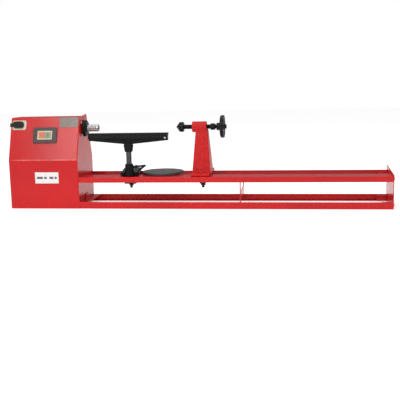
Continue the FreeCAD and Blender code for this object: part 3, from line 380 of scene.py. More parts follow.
@dataclass(frozen=True)
class Moulded:
    """Moulded plastic with a fine spark grain, slight sinks and glossier handled patches that carry a painted
    sheen.
    """

    name: str
    colour: Colour
    gloss: float = 0.45
    grain: float = 0.00006
    sink: float = 0.0004

    def make(self) -> bpy.types.Material:
        """Build the material.

        Returns:
            The finished material.
        """
        r = Recipe(self.name)
        sinks = r.noise(24.0, 2.0)
        grain = r.noise(1900.0, 1.0)
        shine = r.noise(70.0, 5.0, 0.6).between(0.52, 0.75)
        base = r.blend(sinks, tone(self.colour, 0.90), tone(self.colour, 1.10))
        # Painted sheen: the handled patches are lightened; their lower roughness below is real gloss.
        base = r.blend(shine * 0.18, base, tone(self.colour, 1.5))
        rough = self.gloss + (grain - 0.5) * 0.12 - shine * 0.10
        return r.finish({
            "Base Color": base, "Roughness": rough, "Specular IOR Level": 0.24,
            "Normal": r.relief(grain, self.grain, r.relief(sinks, self.sink))})


@dataclass(frozen=True)
class Machined:
    """Turned metal: fine rings round an axis, a slow wander in shade and a few deeper cuts."""

    name: str
    colour: Colour
    run: Run
    centre: Point
    gloss: float = 0.24
    pitch: float = 0.0009
    depth: float = 0.00003
    band: float = 0.00012
    metal: float = 1.0

    def make(self) -> bpy.types.Material:
        """Build the material.

        Returns:
            The finished material.
        """
        r = Recipe(self.name)
        spot = r.place(Matrix.Translation(self.centre))
        parts = [r.axis(spot, run) for run in Run]
        ring, other = (parts[(self.run.value + k) % 3] for k in (1, 2))
        radius = (ring * ring + other * other) ** 0.5
        wander = r.noise(30.0, 3.0, spot=spot)
        station = radius + parts[self.run.value]
        turns = (station * (2 * math.pi / self.pitch) + wander * 3.0).sine() * 0.5 + 0.5
        bands = r.add("ShaderNodeTexNoise", {"noise_dimensions": "1D"}, {
            "W": station, "Scale": 260.0, "Detail": 3.0})
        stains = r.noise(55.0, 6.0, 0.65).between(0.5, 0.8)
        base = r.blend(bands.between(0.3, 0.7), tone(self.colour, 0.80), tone(self.colour, 1.16))
        base = r.blend(stains * 0.3, base, tone(self.colour, 0.6))
        rough = self.gloss + (bands - 0.5) * 0.22 + stains * 0.16
        return r.finish({
            "Base Color": base, "Roughness": rough, "Metallic": self.metal,
            "Normal": r.relief(turns, self.depth, r.relief(bands, self.band))})


@dataclass(frozen=True)
class Plated:
    """Plated or blackened steel with blooms, hairline scratches and rubbed patches."""

    name: str
    colour: Colour
    gloss: float = 0.32
    wear_and_glint: Colour = (0.55, 0.55, 0.56)
    wear: float = 0.25
    scratch: float = 0.00002
    mottle: float = 0.00015

    def make(self) -> bpy.types.Material:
        """Build the material.

        Returns:
            The finished material.
        """
        r = Recipe(self.name)
        bloom = r.noise(45.0, 5.0, 0.6)
        hair = r.noise(60.0, 2.0, spot=r.place(None, (1.0, 9.0, 14.0))).between(0.62, 0.70)
        rubbed = r.noise(120.0, 7.0, 0.7).between(0.60, 0.76)
        base = r.blend(bloom.between(0.3, 0.7), tone(self.colour, 0.82), tone(self.colour, 1.18))
        base = r.blend(rubbed * self.wear, base, self.wear_and_glint)
        rough = self.gloss + (bloom - 0.5) * 0.24 + hair * 0.12
        return r.finish({
            "Base Color": base, "Roughness": rough, "Metallic": 0.92,
            "Normal": r.relief(hair, self.scratch, r.relief(bloom, self.mottle))})


@dataclass(frozen=True)
class Rubber:
    """Fabric-faced belt rubber: a fine weave, dust and a dull surface."""

    name: str
    colour: Colour
    threads: float = 5200.0
    cloth: float = 0.00012

    def make(self) -> bpy.types.Material:
        """Build the material.

        Returns:
            The finished material.
        """
        r = Recipe(self.name)
        spot = r.place()
        x, y, z = (r.axis(spot, run) for run in Run)
        weave = ((x + z) * self.threads).sine() * ((y - z) * self.threads).sine()
        dust = r.noise(90.0, 6.0, 0.6).between(0.45, 0.75)
        base = r.blend(dust * 0.4, self.colour, tone(self.colour, 4.0))
        return r.finish({
            "Base Color": base, "Roughness": 0.72 + weave * 0.08,
            "Normal": r.relief(weave * 0.5 + 0.5, self.cloth)})


@dataclass(frozen=True)
class Print:
    """Printed sticker: a plain ground, a rule round it and rows of bars in place of words."""

    name: str
    ground: Colour
    ink: Colour
    place: Matrix
    width: float
    height: float
    rows: int = 6
    cover: float = 0.55
    edge: float = 0.0016
    filled: float = 0.80
    cell: float = 0.055
    reach: float = 0.42

    def make(self) -> bpy.types.Material:
        """Build the material.

        Returns:
            The finished material.
        """
        r = Recipe(self.name)
        spot = r.place(self.place)
        x, y = (r.axis(spot, run) for run in (Run.X, Run.Y))
        pitch = self.height * self.filled / self.rows
        row = (y + self.height * self.filled / 2) / pitch
        column = x / (self.width * self.cell)
        cell = r.add("ShaderNodeCombineXYZ", None, {0: column.whole(), 1: row.whole()})
        words = r.add("ShaderNodeTexWhiteNoise", {"noise_dimensions": "2D"}, {0: cell})
        line = (row.fraction() - 0.5).size() < 0.2
        across, up = x.size(), y.size()
        inside = (across < self.width * self.reach) * (up < self.height * self.filled / 2)
        within = [(across < self.width / 2 - gap) * (up < self.height / 2 - gap)
                  for gap in (self.edge, self.edge * 0.55)]
        ink = line * inside * (words < self.cover)
        ink = ink.math("MAXIMUM", ink, (1.0 - within[0]) * within[1])
        fade = r.noise(60.0, 4.0)
        base = r.blend(fade.between(0.3, 0.75), tone(self.ground, 0.93), tone(self.ground, 1.05))
        base = r.blend(ink * 0.9, base, self.ink)
        return r.finish({
            "Base Color": base, "Roughness": 0.34 + ink * 0.12 + (fade - 0.5) * 0.12,
            "Coat Weight": 0.2, "Coat Roughness": 0.2, "Normal": r.relief(r.noise(300.0, 2.0), 0.00006)})


Finish = Enamel | Casting | Moulded | Machined | Plated | Rubber | Print

RED = (0.56, 0.003, 0.005)
SCARLET = (0.62, 0.004, 0.005)
BLACK = (0.005, 0.005, 0.006)
WHITE = (1.0, 1.0, 1.0)
SPINDLE_AXIS = (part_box("bearing_cap")[0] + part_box("bearing_cap")[1]) / 2
PLATE_AXIS = (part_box("faceplate")[0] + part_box("faceplate")[1]) / 2

FINISHES: dict[str, Finish] = {
    "red_sheet": Enamel("red enamel", RED),
    "grey_sheet": Enamel("grey enamel", (0.30, 0.28, 0.28), gloss=0.42),
    "red_casting": Casting("red casting", SCARLET),
    "black_casting": Casting("black casting", (0.006, 0.006, 0.007), gloss=0.34, grain=0.00036,
                             pits=0.00018, coat=0.0, shine=0.16),
    "black_plastic": Moulded("black plastic", BLACK, gloss=0.36),
    "cream_plastic": Moulded("cream plastic", (0.66, 0.58, 0.44)),
    "red_plastic": Moulded("red plastic", (0.66, 0.19, 0.10), gloss=0.28),
    "green_plastic": Moulded("green plastic", (0.27, 0.30, 0.20), gloss=0.28),
    "plated_steel": Plated("plated steel", (0.55, 0.54, 0.52)),
    "bright_steel": Machined("bright steel", (0.56, 0.54, 0.54), Run.X, tuple(SPINDLE_AXIS), gloss=0.20),
    "dark_steel": Plated("dark steel", (0.020, 0.020, 0.022), gloss=0.28, wear=0.08),
    "grey_iron": Machined("turned iron", (0.105, 0.105, 0.108), Run.Z, tuple(PLATE_AXIS), gloss=0.46,
                          pitch=0.0016, depth=0.00008, metal=0.6),
    "aluminium": Plated("cast aluminium", (0.62, 0.62, 0.63), gloss=0.42, wear=0.0),
    "belt_rubber": Rubber("belt rubber", (0.02, 0.02, 0.02)),
    "core_steel": Plated("core steel", (0.30, 0.30, 0.32), gloss=0.45),
    "label_print": Moulded("label ground", (0.80, 0.80, 0.78)),
}


class Palette:
    """Materials of the lathe, each built once when it is first asked for."""

    def __init__(self) -> None:
        """Start with nothing mixed."""
        self.mixed: dict[str, bpy.types.Material] = {}

    def get(self, finish: Finish | str) -> bpy.types.Material:
        """Mix a material, or find it again.

        Args:
            finish: A finish, or the name of the slot that stands for one.

        Returns:
            The material.
        """
        recipe = FINISHES[finish] if isinstance(finish, str) else finish
        if recipe.name not in self.mixed:
            self.mixed[recipe.name] = recipe.make()
        return self.mixed[recipe.name]

    def dress_frame(self) -> None:
        """Give every node of the frame the material of its slot."""
        for part in frame["record"]["subparts"]:
            material = self.get(part["material_slot"])
            for holder in frame["nodes"][part["node"]].material_slots:
                holder.material = material


# ------------------------------------------------------------------ shapes
class Shape:
    """A mesh being modelled, in metres and in its final place."""

    def __init__(self) -> None:
        """Start with nothing."""
        self.bm = bmesh.new()

    @classmethod
    def copy_of(cls, node: str, flat: float = 1.0) -> "Shape":
        """Copy a node, with its loose triangles merged into whole faces.

        Args:
            node: Name of the node.
            flat: Angle in degrees under which neighbouring faces count as one.

        Returns:
            The copy.
        """
        shape = cls()
        shape.bm.from_mesh(frame["nodes"][node].data)
        bmesh.ops.remove_doubles(shape.bm, verts=shape.bm.verts, dist=0.01 * MM)
        bmesh.ops.dissolve_limit(shape.bm, angle_limit=math.radians(flat), use_dissolve_boundaries=False,
                                 verts=shape.bm.verts, edges=shape.bm.edges)
        return shape

    @classmethod
    def block(cls, low: Sequence[float], high: Sequence[float], place: Matrix = Matrix()) -> "Shape":
        """Block between two corners of a local frame.

        Args:
            low: Lowest corner.
            high: Highest corner.
            place: Matrix of the local frame.

        Returns:
            The block.
        """
        shape = cls()
        low, high = Vector(low), Vector(high)
        bmesh.ops.create_cube(shape.bm, size=1.0, matrix=Matrix.Translation((low + high) / 2)
                              @ Matrix.Diagonal((*(high - low), 1.0)))
        bmesh.ops.transform(shape.bm, matrix=place, verts=shape.bm.verts)
        return shape

    @classmethod
    def lathe(cls, profile: Sequence[tuple[float, float]], run: Run, centre: Sequence[float],
              steps: int = 96, ring: bool = False) -> "Shape":
        """Turn a profile once round an axis.

        Args:
            profile: Station along the axis and radius of each point.
            run: Direction of the axis.
            centre: A point that the axis passes through.
            steps: Facets round the axis.
            ring: True where the last point joins the first.

        Returns:
            The turned shape.
        """
        shape = cls()
        hub = Vector(centre)
        hub[run.value] = 0.0
        verts = [shape.bm.verts.new(hub + run.along * s + run.aside * r) for s, r in profile]
        edges = [shape.bm.edges.new(pair) for pair in zip(verts, verts[1:])]
        if ring:
            edges.append(shape.bm.edges.new((verts[-1], verts[0])))
        bmesh.ops.spin(shape.bm, geom=verts + edges, cent=hub, axis=run.along, dvec=(0, 0, 0),
                       angle=2 * math.pi, steps=steps, use_merge=True)
        bmesh.ops.remove_doubles(shape.bm, verts=shape.bm.verts, dist=1e-6)
        bmesh.ops.recalc_face_normals(shape.bm, faces=shape.bm.faces)
        return shape

    @classmethod
    def hex_bolt(cls, seat: Vector, out: Vector, across: float, height: float, washer: float) -> "Shape":
        """Hexagon head with a chamfered top, on its washer.

        Args:
            seat: Middle of the face that the washer lies on.
            out: Unit vector away from that face.
            across: Corner radius of the head.
            height: Height over the face.
            washer: Radius of the washer.

        Returns:
            The head and the washer.
        """
        turn = out.to_track_quat("Z", "Y").to_matrix().to_4x4()
        thick = height * 0.22
        shape = cls()
        for radius, top_radius, sides, low, high in (
                (washer, washer * 0.97, 32, 0.0, thick), (across, across, 6, thick, height * 0.86),
                (across * 0.90, across * 0.72, 24, height * 0.86, height)):
            bmesh.ops.create_cone(shape.bm, cap_ends=True, segments=sides, radius1=radius, radius2=top_radius,
                                  depth=high - low, matrix=Matrix.Translation(seat) @ turn
                                  @ Matrix.Translation((0, 0, (low + high) / 2)))
        return shape

    def soften(self, width: float, segments: int = 3, rule: Rule = Rule.ALL, sharp: float = 32.0,
               pick: Callable[[bmesh.types.BMEdge], bool] | None = None, clamp: bool = True) -> "Shape":
        """Round the corners over.

        Args:
            width: Width of the rounding.
            segments: Facets across it.
            rule: Whether inner corners are rounded too.
            sharp: Angle in degrees over which a corner is rounded.
            pick: Further test that an edge has to pass.
            clamp: Keep neighbouring roundings apart.

        Returns:
            The same shape.
        """
        edges = [e for e in self.bm.edges if len(e.link_faces) == 2
                 and e.calc_face_angle(0.0) > math.radians(sharp)
                 and (rule is Rule.ALL or e.is_convex) and (pick is None or pick(e))]
        bmesh.ops.bevel(self.bm, geom=edges, offset=width, offset_type="OFFSET", segments=segments,
                        profile=0.5, affect="EDGES", clamp_overlap=clamp, material=-1)
        return self

    def join(self, *others: "Shape") -> "Shape":
        """Take other shapes in.

        Args:
            others: Shapes whose faces are added; they are used up.

        Returns:
            The same shape.
        """
        for other in others:
            mesh = bpy.data.meshes.new("passing")
            other.bm.to_mesh(mesh)
            other.bm.free()
            self.bm.from_mesh(mesh)
            bpy.data.meshes.remove(mesh)
        return self

    def moved(self, matrix: Matrix) -> "Shape":
        """The same shape, taken through a matrix."""
        bmesh.ops.transform(self.bm, matrix=matrix, verts=self.bm.verts)
        return self


@dataclass
class SubAssembly:
    """Pieces that are built together."""

    palette: Palette

    def show(self, shape: Shape, name: str, body: str, slot: str, replaces: Sequence[str] = (),
             finish: Finish | None = None, crease: float = 35.0) -> bpy.types.Object:
        """Turn a shape into a finished piece.

        Args:
            shape: The modelled mesh.
            name: Name of the piece.
            body: Body of the frame that it moves with.
            slot: Slot of the record that it takes its finish from.
            replaces: Nodes that it stands for.
            finish: Finish of its own, the slot's when left out.
            crease: Angle in degrees over which a corner stays sharp.

        Returns:
            The piece.
        """
        mesh = bpy.data.meshes.new(name)
        shape.bm.to_mesh(mesh)
        shape.bm.free()
        mesh.shade_smooth()
        mesh.set_sharp_from_angle(angle=math.radians(crease))
        mesh.materials.append(self.palette.get(finish or slot))
        piece = bpy.data.objects.new(name, mesh)
        bpy.context.scene.collection.objects.link(piece)
        piece.modifiers.new("even_shading", "WEIGHTED_NORMAL").keep_sharp = True
        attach(piece, body)
        if replaces:
            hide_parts(*replaces)
        LOG.info("%s on %s: %d faces", name, body, len(mesh.polygons))
        return piece

    def softened(self, node: str, body: str, slot: str, width: float, finish: Finish | None = None,
                 rule: Rule = Rule.ALL, clamp: bool = True, segments: int = 3) -> bpy.types.Object:
        """Stand a copy with rounded corners in for a node.

        Args:
            node: Name of the node.
            body: Body that it moves with.
            slot: Slot of the record.
            width: Width of the rounding.
            finish: Finish of its own, the slot's when left out.
            rule: Which corners are rounded.
            clamp: Keep neighbouring roundings apart.
            segments: Facets across the rounding.

        Returns:
            The piece.
        """
        shape = Shape.copy_of(node).soften(width, segments, rule, clamp=clamp)
        return self.show(shape, node + "_skin", body, slot, (node,), finish)

    def cast(self, node: str, body: str, slot: str, grain: float, passes: int) -> bpy.types.Object:
        """Stand a copy with the soft corners of a casting in for a node.

        Args:
            node: Name of the node.
            body: Body that it moves with.
            slot: Slot of the record.
            grain: Size of the mesh that it is rebuilt on.
            passes: Smoothing passes.

        Returns:
            The piece.
        """
        piece = self.show(Shape.copy_of(node, 0.2), node + "_cast", body, slot, (node,))
        piece.modifiers.clear()
        remesh = piece.modifiers.new("one_skin", "REMESH")
        remesh.mode = "VOXEL"
        remesh.voxel_size = grain
        remesh.use_smooth_shade = True
        smooth = piece.modifiers.new("soft_corners", "SMOOTH")
        smooth.factor = 0.5
        smooth.iterations = passes
        return piece


# ------------------------------------------------------------------ headstock
@dataclass
class Headstock(SubAssembly):
    """Sheet-metal cabinet with its door, switch, catch, labels and spindle line."""

    crease_height: float = 0.182
    setback: float = 0.055
    rim: float = 0.0006
    fold: float = 0.00096
    sunk: float = 0.0004
    symbol: float = 0.0045
    symbol_rise: float = 0.00035
    bar_half: float = 0.0011
    ribs_each_side: int = 3
    rib_pitch: float = 0.0038
    rib_shift: float = 0.004
    rib_low: Point = (-0.0009, -0.0085, -0.0006)
    rib_high: Point = (0.0009, 0.0085, 0.0008)
    nose_length: float = 0.043
    nose_radius: float = 0.0135
    thread: float = 0.0025
    shaft_radius: float = 0.0125
    socket_mouth: float = 0.00889
    socket_depth: float = 0.062
    taper: float = 40.0
    lip: float = 0.0008
    groove: float = 0.24
    louvre_places: tuple[float, ...] = (-0.045, 0.025)
    louvre_rows: int = 5
    louvre_low: float = 0.075
    louvre_pitch: float = 0.014
    louvre_half: float = 0.026
    louvre_rise: float = 0.0035
    louvre_end: float = 0.003
    louvre_squash: float = 0.7

    def slope(self, u: float, v: float, out: float = 0.0) -> Matrix:
        """Local frame on the leaning panel: X across, Y up the slope, Z out of it.

        Args:
            u: Place across, from the middle of the cabinet.
            v: Place up the slope, from its lower crease.
            out: Height over the panel.

        Returns:
            The matrix of the frame.
        """
        low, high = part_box("headstock_casing")
        tilt = math.atan(self.setback / (high.z - self.crease_height))
        sine, cosine = math.sin(tilt), math.cos(tilt)
        turn = Matrix(((1, 0, 0), (0, sine, -cosine), (0, cosine, sine))).to_4x4()
        spot = Vector((u, low.y + v * sine - out * cosine, self.crease_height + v * cosine + out * sine))
        return Matrix.Translation(spot) @ turn

    def middle(self, node: str) -> tuple[float, float]:
        """Find a node's middle on the leaning panel.

        Args:
            node: Name of the node.

        Returns:
            Place across and place up the slope.
        """
        low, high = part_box(node)
        centre = (low + high) / 2
        flat = self.slope(0, 0).inverted() @ centre
        return flat.x, flat.y

    def cabinet(self) -> None:
        """Folded casing, side plate and door, with rounded bends."""
        for node, body in (("headstock_casing", "bed"), ("headstock_side_plate", "bed"),
                           ("pulley_door", "pulley_door")):
            shape = Shape.copy_of(node).soften(self.fold, sharp=15.0, clamp=False)
            # The casing's finish has a painted highlight along its crease.
            folded = Enamel("cabinet enamel", RED, crease=self.crease_height)
            self.show(shape, node + "_skin", body, "red_sheet", (node,),
                      folded if node == "headstock_casing" else None)
        self.softened("hinge_leaf_door", "pulley_door", "plated_steel", self.rim * 0.6)
        self.softened("headstock_base_plate", "bed", "grey_sheet", self.rim)
        self.softened("cable_gland", "bed", "black_plastic", self.rim)

    def louvres(self) -> None:
        """Pressed louvres in the rear wall, for the motor's air."""
        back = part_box("headstock_casing")[1].y
        hoods = Shape()
        for x in self.louvre_places:
            for row in range(self.louvre_rows):
                z = self.louvre_low + row * self.louvre_pitch
                left, right = x - self.louvre_half, x + self.louvre_half
                hood = Shape.lathe([(left, 0.0), (left + self.louvre_end, self.louvre_rise),
                                    (right - self.louvre_end, self.louvre_rise), (right, 0.0)],
                                   Run.X, (x, back, z), 24)
                squash = Matrix.Diagonal((1.0, self.louvre_squash, 1.0, 1.0))
                hood.moved(Matrix.Translation((0, back, z)) @ squash @ Matrix.Translation((0, -back, -z)))
                hoods.join(hood)
        self.show(hoods, "louvres", "bed", "red_sheet")

    def switch(self) -> None:
        """Bezel, cream plate and two rocker caps with plain symbols."""
        self.softened("switch_bezel", "bed", "black_plastic", 0.0018,
                      finish=Moulded("bezel plastic", (0.060, 0.045, 0.042), gloss=0.33))
        self.softened("switch_insert", "bed", "cream_plastic", 0.0009)
        self.softened("switch_box", "bed", "black_plastic", self.rim)
        for node, slot, ink, dark in (("stop_button", "red_plastic", "stop_mark", (0.42, 0.03, 0.02)),
                                      ("start_button", "green_plastic", "start_mark", (0.04, 0.06, 0.05))):
            self.softened(node, node, slot, 0.0010)
            u, v = self.middle(node)
            proud = (self.slope(u, v).inverted() @ self.face(node)).z
            place = self.slope(u, v, proud)
            if node == "start_button":
                mark = Shape.lathe([(-self.sunk, self.symbol * 0.62), (self.symbol_rise, self.symbol * 0.66),
                                    (self.symbol_rise, self.symbol), (-self.sunk, self.symbol * 1.04)],
                                   Run.Z, (0, 0, 0), 40, ring=True)
                mark.moved(place @ Matrix.Diagonal((0.8, 1.25, 1, 1)))
            else:
                mark = Shape.block((-self.symbol, -self.bar_half, -self.sunk),
                                   (self.symbol, self.bar_half, self.symbol_rise), place)
                mark.soften(0.0003, 2)
            self.show(mark, ink, node, slot, finish=Moulded(ink, dark))

    def face(self, node: str) -> Vector:
        """Point of a node that stands furthest out of the slope."""
        back = self.slope(0, 0).inverted()
        return max((v.co for v in frame["nodes"][node].data.vertices), key=lambda co: (back @ co).z)

    def catch(self) -> None:
        """Sliding catch with finger ribs, in its moulded frame."""
        self.softened("catch_frame", "bed", "cream_plastic", 0.0007)
        self.softened("door_catch", "door_catch", "black_plastic", 0.0011)
        u, v = self.middle("door_catch")
        top = (self.slope(0, 0).inverted() @ self.face("door_catch")).z
        ribs = Shape()
        for i in range(-self.ribs_each_side, self.ribs_each_side + 1):
            place = self.slope(u + self.rib_shift + i * self.rib_pitch, v, top)
            ribs.join(Shape.block(self.rib_low, self.rib_high, place).soften(0.0005, 2))
        self.show(ribs, "catch_ribs", "door_catch", "black_plastic")

    def labels(self) -> None:
        """Rating sticker on the slope and plain badge on the front, in place of the label plates."""
        verts = [v.co for v in frame["nodes"]["label_plates"].data.vertices]
        upper = [co for co in verts if co.z > self.crease_height]
        lower = [co for co in verts if co.z < self.crease_height]
        back = self.slope(0, 0).inverted()
        flat = [back @ co for co in upper]
        low = Vector(min(p[i] for p in flat) for i in range(3))
        high = Vector(max(p[i] for p in flat) for i in range(3))
        place = self.slope((low.x + high.x) / 2, (low.y + high.y) / 2)
        half = Vector(((high.x - low.x) / 2, (high.y - low.y) / 2, high.z))
        rating = Shape.block((-half.x, -half.y, low.z), half, place).soften(0.0003, 2)
        self.show(rating, "rating_sticker", "bed", "label_print", ("label_plates",), Print(
            "rating print", (0.175, 0.135, 0.105), (0.05, 0.045, 0.035), place,
            2 * half.x, 2 * half.y, rows=7))
        low = Vector(min(co[i] for co in lower) for i in range(3))
        high = Vector(max(co[i] for co in lower) for i in range(3))
        middle = (low + high) / 2
        place = Matrix.Translation((middle.x, low.y, middle.z)) @ Matrix.Rotation(math.pi / 2, 4, "X")
        badge = Shape.block(low, high).soften(0.00025, 2)
        self.show(badge, "badge", "bed", "label_print", ("label_plates",), Print(
            "badge print", (0.80, 0.79, 0.78), (0.03, 0.02, 0.02), place,
            high.x - low.x, high.z - low.z, rows=1, cover=0.80, edge=0.0008, filled=0.5))

    def spindle_line(self) -> None:
        """Bearing cap, its bolts, and the spindle with a threaded nose."""
        self.softened("bearing_cap", "bed", "black_casting", 0.0014)
        self.softened("flange_bolts", "bed", "plated_steel", self.rim)
        self.softened("spindle_housing", "bed", "grey_iron", self.rim)
        low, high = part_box("spindle")
        shoulder = high.x - self.nose_length
        floor = high.x - self.socket_depth
        profile = [(low.x, 0.0), (low.x, self.shaft_radius - 0.001), (low.x + 0.001, self.shaft_radius),
                   (shoulder, self.shaft_radius), (shoulder, self.nose_radius - self.thread / 2)]
        root = self.nose_radius - self.thread * self.groove
        for i in range(int(self.nose_length / self.thread) - 2):
            start = shoulder + (i + 0.5) * self.thread
            profile += [(start, root), (start + self.thread * 0.4, self.nose_radius),
                        (start + self.thread * 0.6, self.nose_radius)]
        profile += [(start + self.thread, root), (high.x - 0.0045, self.nose_radius),
                    (high.x - 0.0015, self.nose_radius), (high.x, self.nose_radius - 0.0015),
                    (high.x, self.socket_mouth + self.lip), (high.x - self.lip, self.socket_mouth),
                    (floor, self.socket_mouth - self.socket_depth / self.taper), (floor, 0.0)]
        self.show(Shape.lathe(profile, Run.X, SPINDLE_AXIS, 72), "spindle_turned", "spindle", "bright_steel",
                  ("spindle",), crease=28.0)

    def build(self) -> None:
        """Build every piece of the headstock."""
        self.cabinet()
        self.louvres()
        self.switch()
        self.catch()
        self.labels()
        self.spindle_line()


# ------------------------------------------------------------------ drive
@dataclass
class Drive(SubAssembly):
    """Motor, its plate and the two step pulleys inside the cabinet."""

    edge: float = 0.0008

    def build(self) -> None:
        """Round the visible edges of the drive."""
        for node, body, slot in (
                ("motor_can", "motor", "grey_sheet"), ("motor_end_bells", "motor", "aluminium"),
                ("motor_plate", "motor", "grey_sheet"), ("motor_pulley", "rotor", "aluminium"),
                ("spindle_pulley", "spindle", "aluminium"), ("run_capacitor", "bed", "black_plastic"),
                ("motor_fan", "rotor", "black_plastic")):
            self.softened(node, body, slot, self.edge, segments=2)


# ------------------------------------------------------------------ bed
@dataclass
class Bed(SubAssembly):
    """Four rolled rails, the plates that tie them and their bolts."""

    bend: float = 0.0024
    edge: float = 0.0008
    long: float = 0.5
    wide: float = 0.0035

    def rails(self) -> None:
        """Rolled rails with a rounded outer bend along their length."""
        for node in ("front_upper_rail", "rear_upper_rail", "front_lower_rail", "rear_lower_rail"):
            shape = Shape.copy_of(node)
            shape.soften(self.bend, 4, Rule.OUTER, pick=self.is_bend, clamp=False)
            shape.soften(self.edge, 2, sharp=50.0, clamp=False)
            self.show(shape, node + "_skin", "bed", "red_sheet", (node,))

    def is_bend(self, edge: bmesh.types.BMEdge) -> bool:
        """Tell a bend of the sheet from its cut edges.

        Args:
            edge: Edge of a rail.

        Returns:
            True for a long edge between two wide faces.
        """
        start, end = (v.co for v in edge.verts)
        return abs(start.x - end.x) > self.long and all(
            face.calc_perimeter() / 2 - edge.calc_length() > self.wide for face in edge.link_faces)

    def plates(self) -> None:
        """End plate, bracket, tie and corner brackets."""
        for node in ("headstock_tie", "tail_end_plate", "mid_bracket", "corner_brackets"):
            self.softened(node, "bed", "red_sheet", self.edge, clamp=False)

    def bolts(self) -> None:
        """Bolts of the end plate, with washers and chamfered heads."""
        shape = Shape.copy_of("end_bolts").soften(0.0006, 2)
        self.show(shape, "end_bolts_skin", "bed", "plated_steel", ("end_bolts",))

    def build(self) -> None:
        """Build every piece of the bed."""
        self.rails()
        self.plates()
        self.bolts()


# ------------------------------------------------------------------ tool rest
@dataclass
class ToolRest(SubAssembly):
    """Banjo, post, rest and clamp, with upright ribs round the boss of the rest."""

    ribs: int = 14
    rib: float = 0.0015
    rib_low_gap: float = 0.002
    rib_high_gap: float = 0.004
    boss_low: float = 0.207
    boss_high: float = 0.236
    boss_low_radius: float = 0.0135
    boss_high_radius: float = 0.0170
    pin_inset: float = 0.009
    pin_drop: float = 0.0172
    pin_sunk: float = 0.0004
    pin_radius: float = 0.0032
    pin_height: float = 0.0022

    def post_axis(self) -> Vector:
        """Middle of the post."""
        low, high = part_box("rest_post")
        return (low + high) / 2

    def ribbed(self, low: float, high: float, low_radius: float, high_radius: float) -> Shape:
        """Ring of upright ribs with round backs, half sunk in a tapered boss round the post.

        Args:
            low: Height of the lower ends.
            high: Height of the upper ends.
            low_radius: Radius of the boss at the lower ends.
            high_radius: Radius of the boss at the upper ends.

        Returns:
            The ribs.
        """
        ribs = Shape()
        middle = self.post_axis()
        rise = Vector((high_radius - low_radius, 0.0, high - low))
        lean = rise.to_track_quat("Z", "Y").to_matrix().to_4x4()
        for i in range(self.ribs):
            turn = Matrix.Rotation(2 * math.pi * i / self.ribs, 4, "Z")
            spot = Matrix.Translation(((low_radius + high_radius) / 2, 0.0, (low + high) / 2))
            bmesh.ops.create_cone(
                ribs.bm, cap_ends=True, segments=10, radius1=self.rib, radius2=self.rib,
                depth=rise.length, matrix=Matrix.Translation((middle.x, middle.y, 0.0)) @ turn @ spot @ lean)
        return ribs

    def rest(self) -> None:
        """The rest, the ribs round its boss and the pin in its front."""
        self.softened("tool_rest", "tool_rest", "black_casting", 0.0014,
                      finish=Casting("black rest", (0.005, 0.005, 0.006), gloss=0.26, grain=0.0003,
                                     pits=0.00012, coat=0.0, shine=0.16))
        ribs = self.ribbed(self.boss_low + self.rib_low_gap, self.boss_high - self.rib_high_gap,
                           self.boss_low_radius, self.boss_high_radius).soften(0.0004, 2, sharp=60.0)
        self.show(ribs, "rest_boss_flutes", "tool_rest", "black_casting")
        low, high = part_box("tool_rest")
        seat = Vector((high.x - self.pin_inset, low.y + self.pin_sunk, high.z - self.pin_drop))
        pin = Shape.hex_bolt(seat, Vector((0, -1, 0)), self.pin_radius, self.pin_height,
                             self.pin_radius * 1.15)
        self.show(pin, "rest_pin", "tool_rest", "plated_steel")

    def build(self) -> None:
        """Build every piece of the tool rest."""
        self.cast("banjo", "banjo", "black_casting", 0.0013, 4)
        self.rest()
        self.softened("lock_lever", "lock_lever", "dark_steel", 0.0006)
        self.softened("rest_post", "rest_post", "dark_steel", 0.0010, finish=Machined(
            "post steel", (0.085, 0.085, 0.092), Run.Z, tuple(self.post_axis()), gloss=0.22))
        self.softened("rest_clamp_bolt", "rest_clamp", "dark_steel", 0.0006)
        self.softened("rest_clamp_plate", "rest_clamp", "black_casting", 0.0010)
        self.softened("rest_clamp_nut", "rest_clamp_nut", "dark_steel", 0.0008)
        self.softened("slot_block", "slot_block", "dark_steel", 0.0006)


# ------------------------------------------------------------------ faceplate
@dataclass
class Faceplate(SubAssembly):
    """Loose faceplate that lies on the bed."""

    edge: float = 0.0012

    def build(self) -> None:
        """Build the faceplate."""
        self.softened("faceplate", "faceplate", "grey_iron", self.edge)


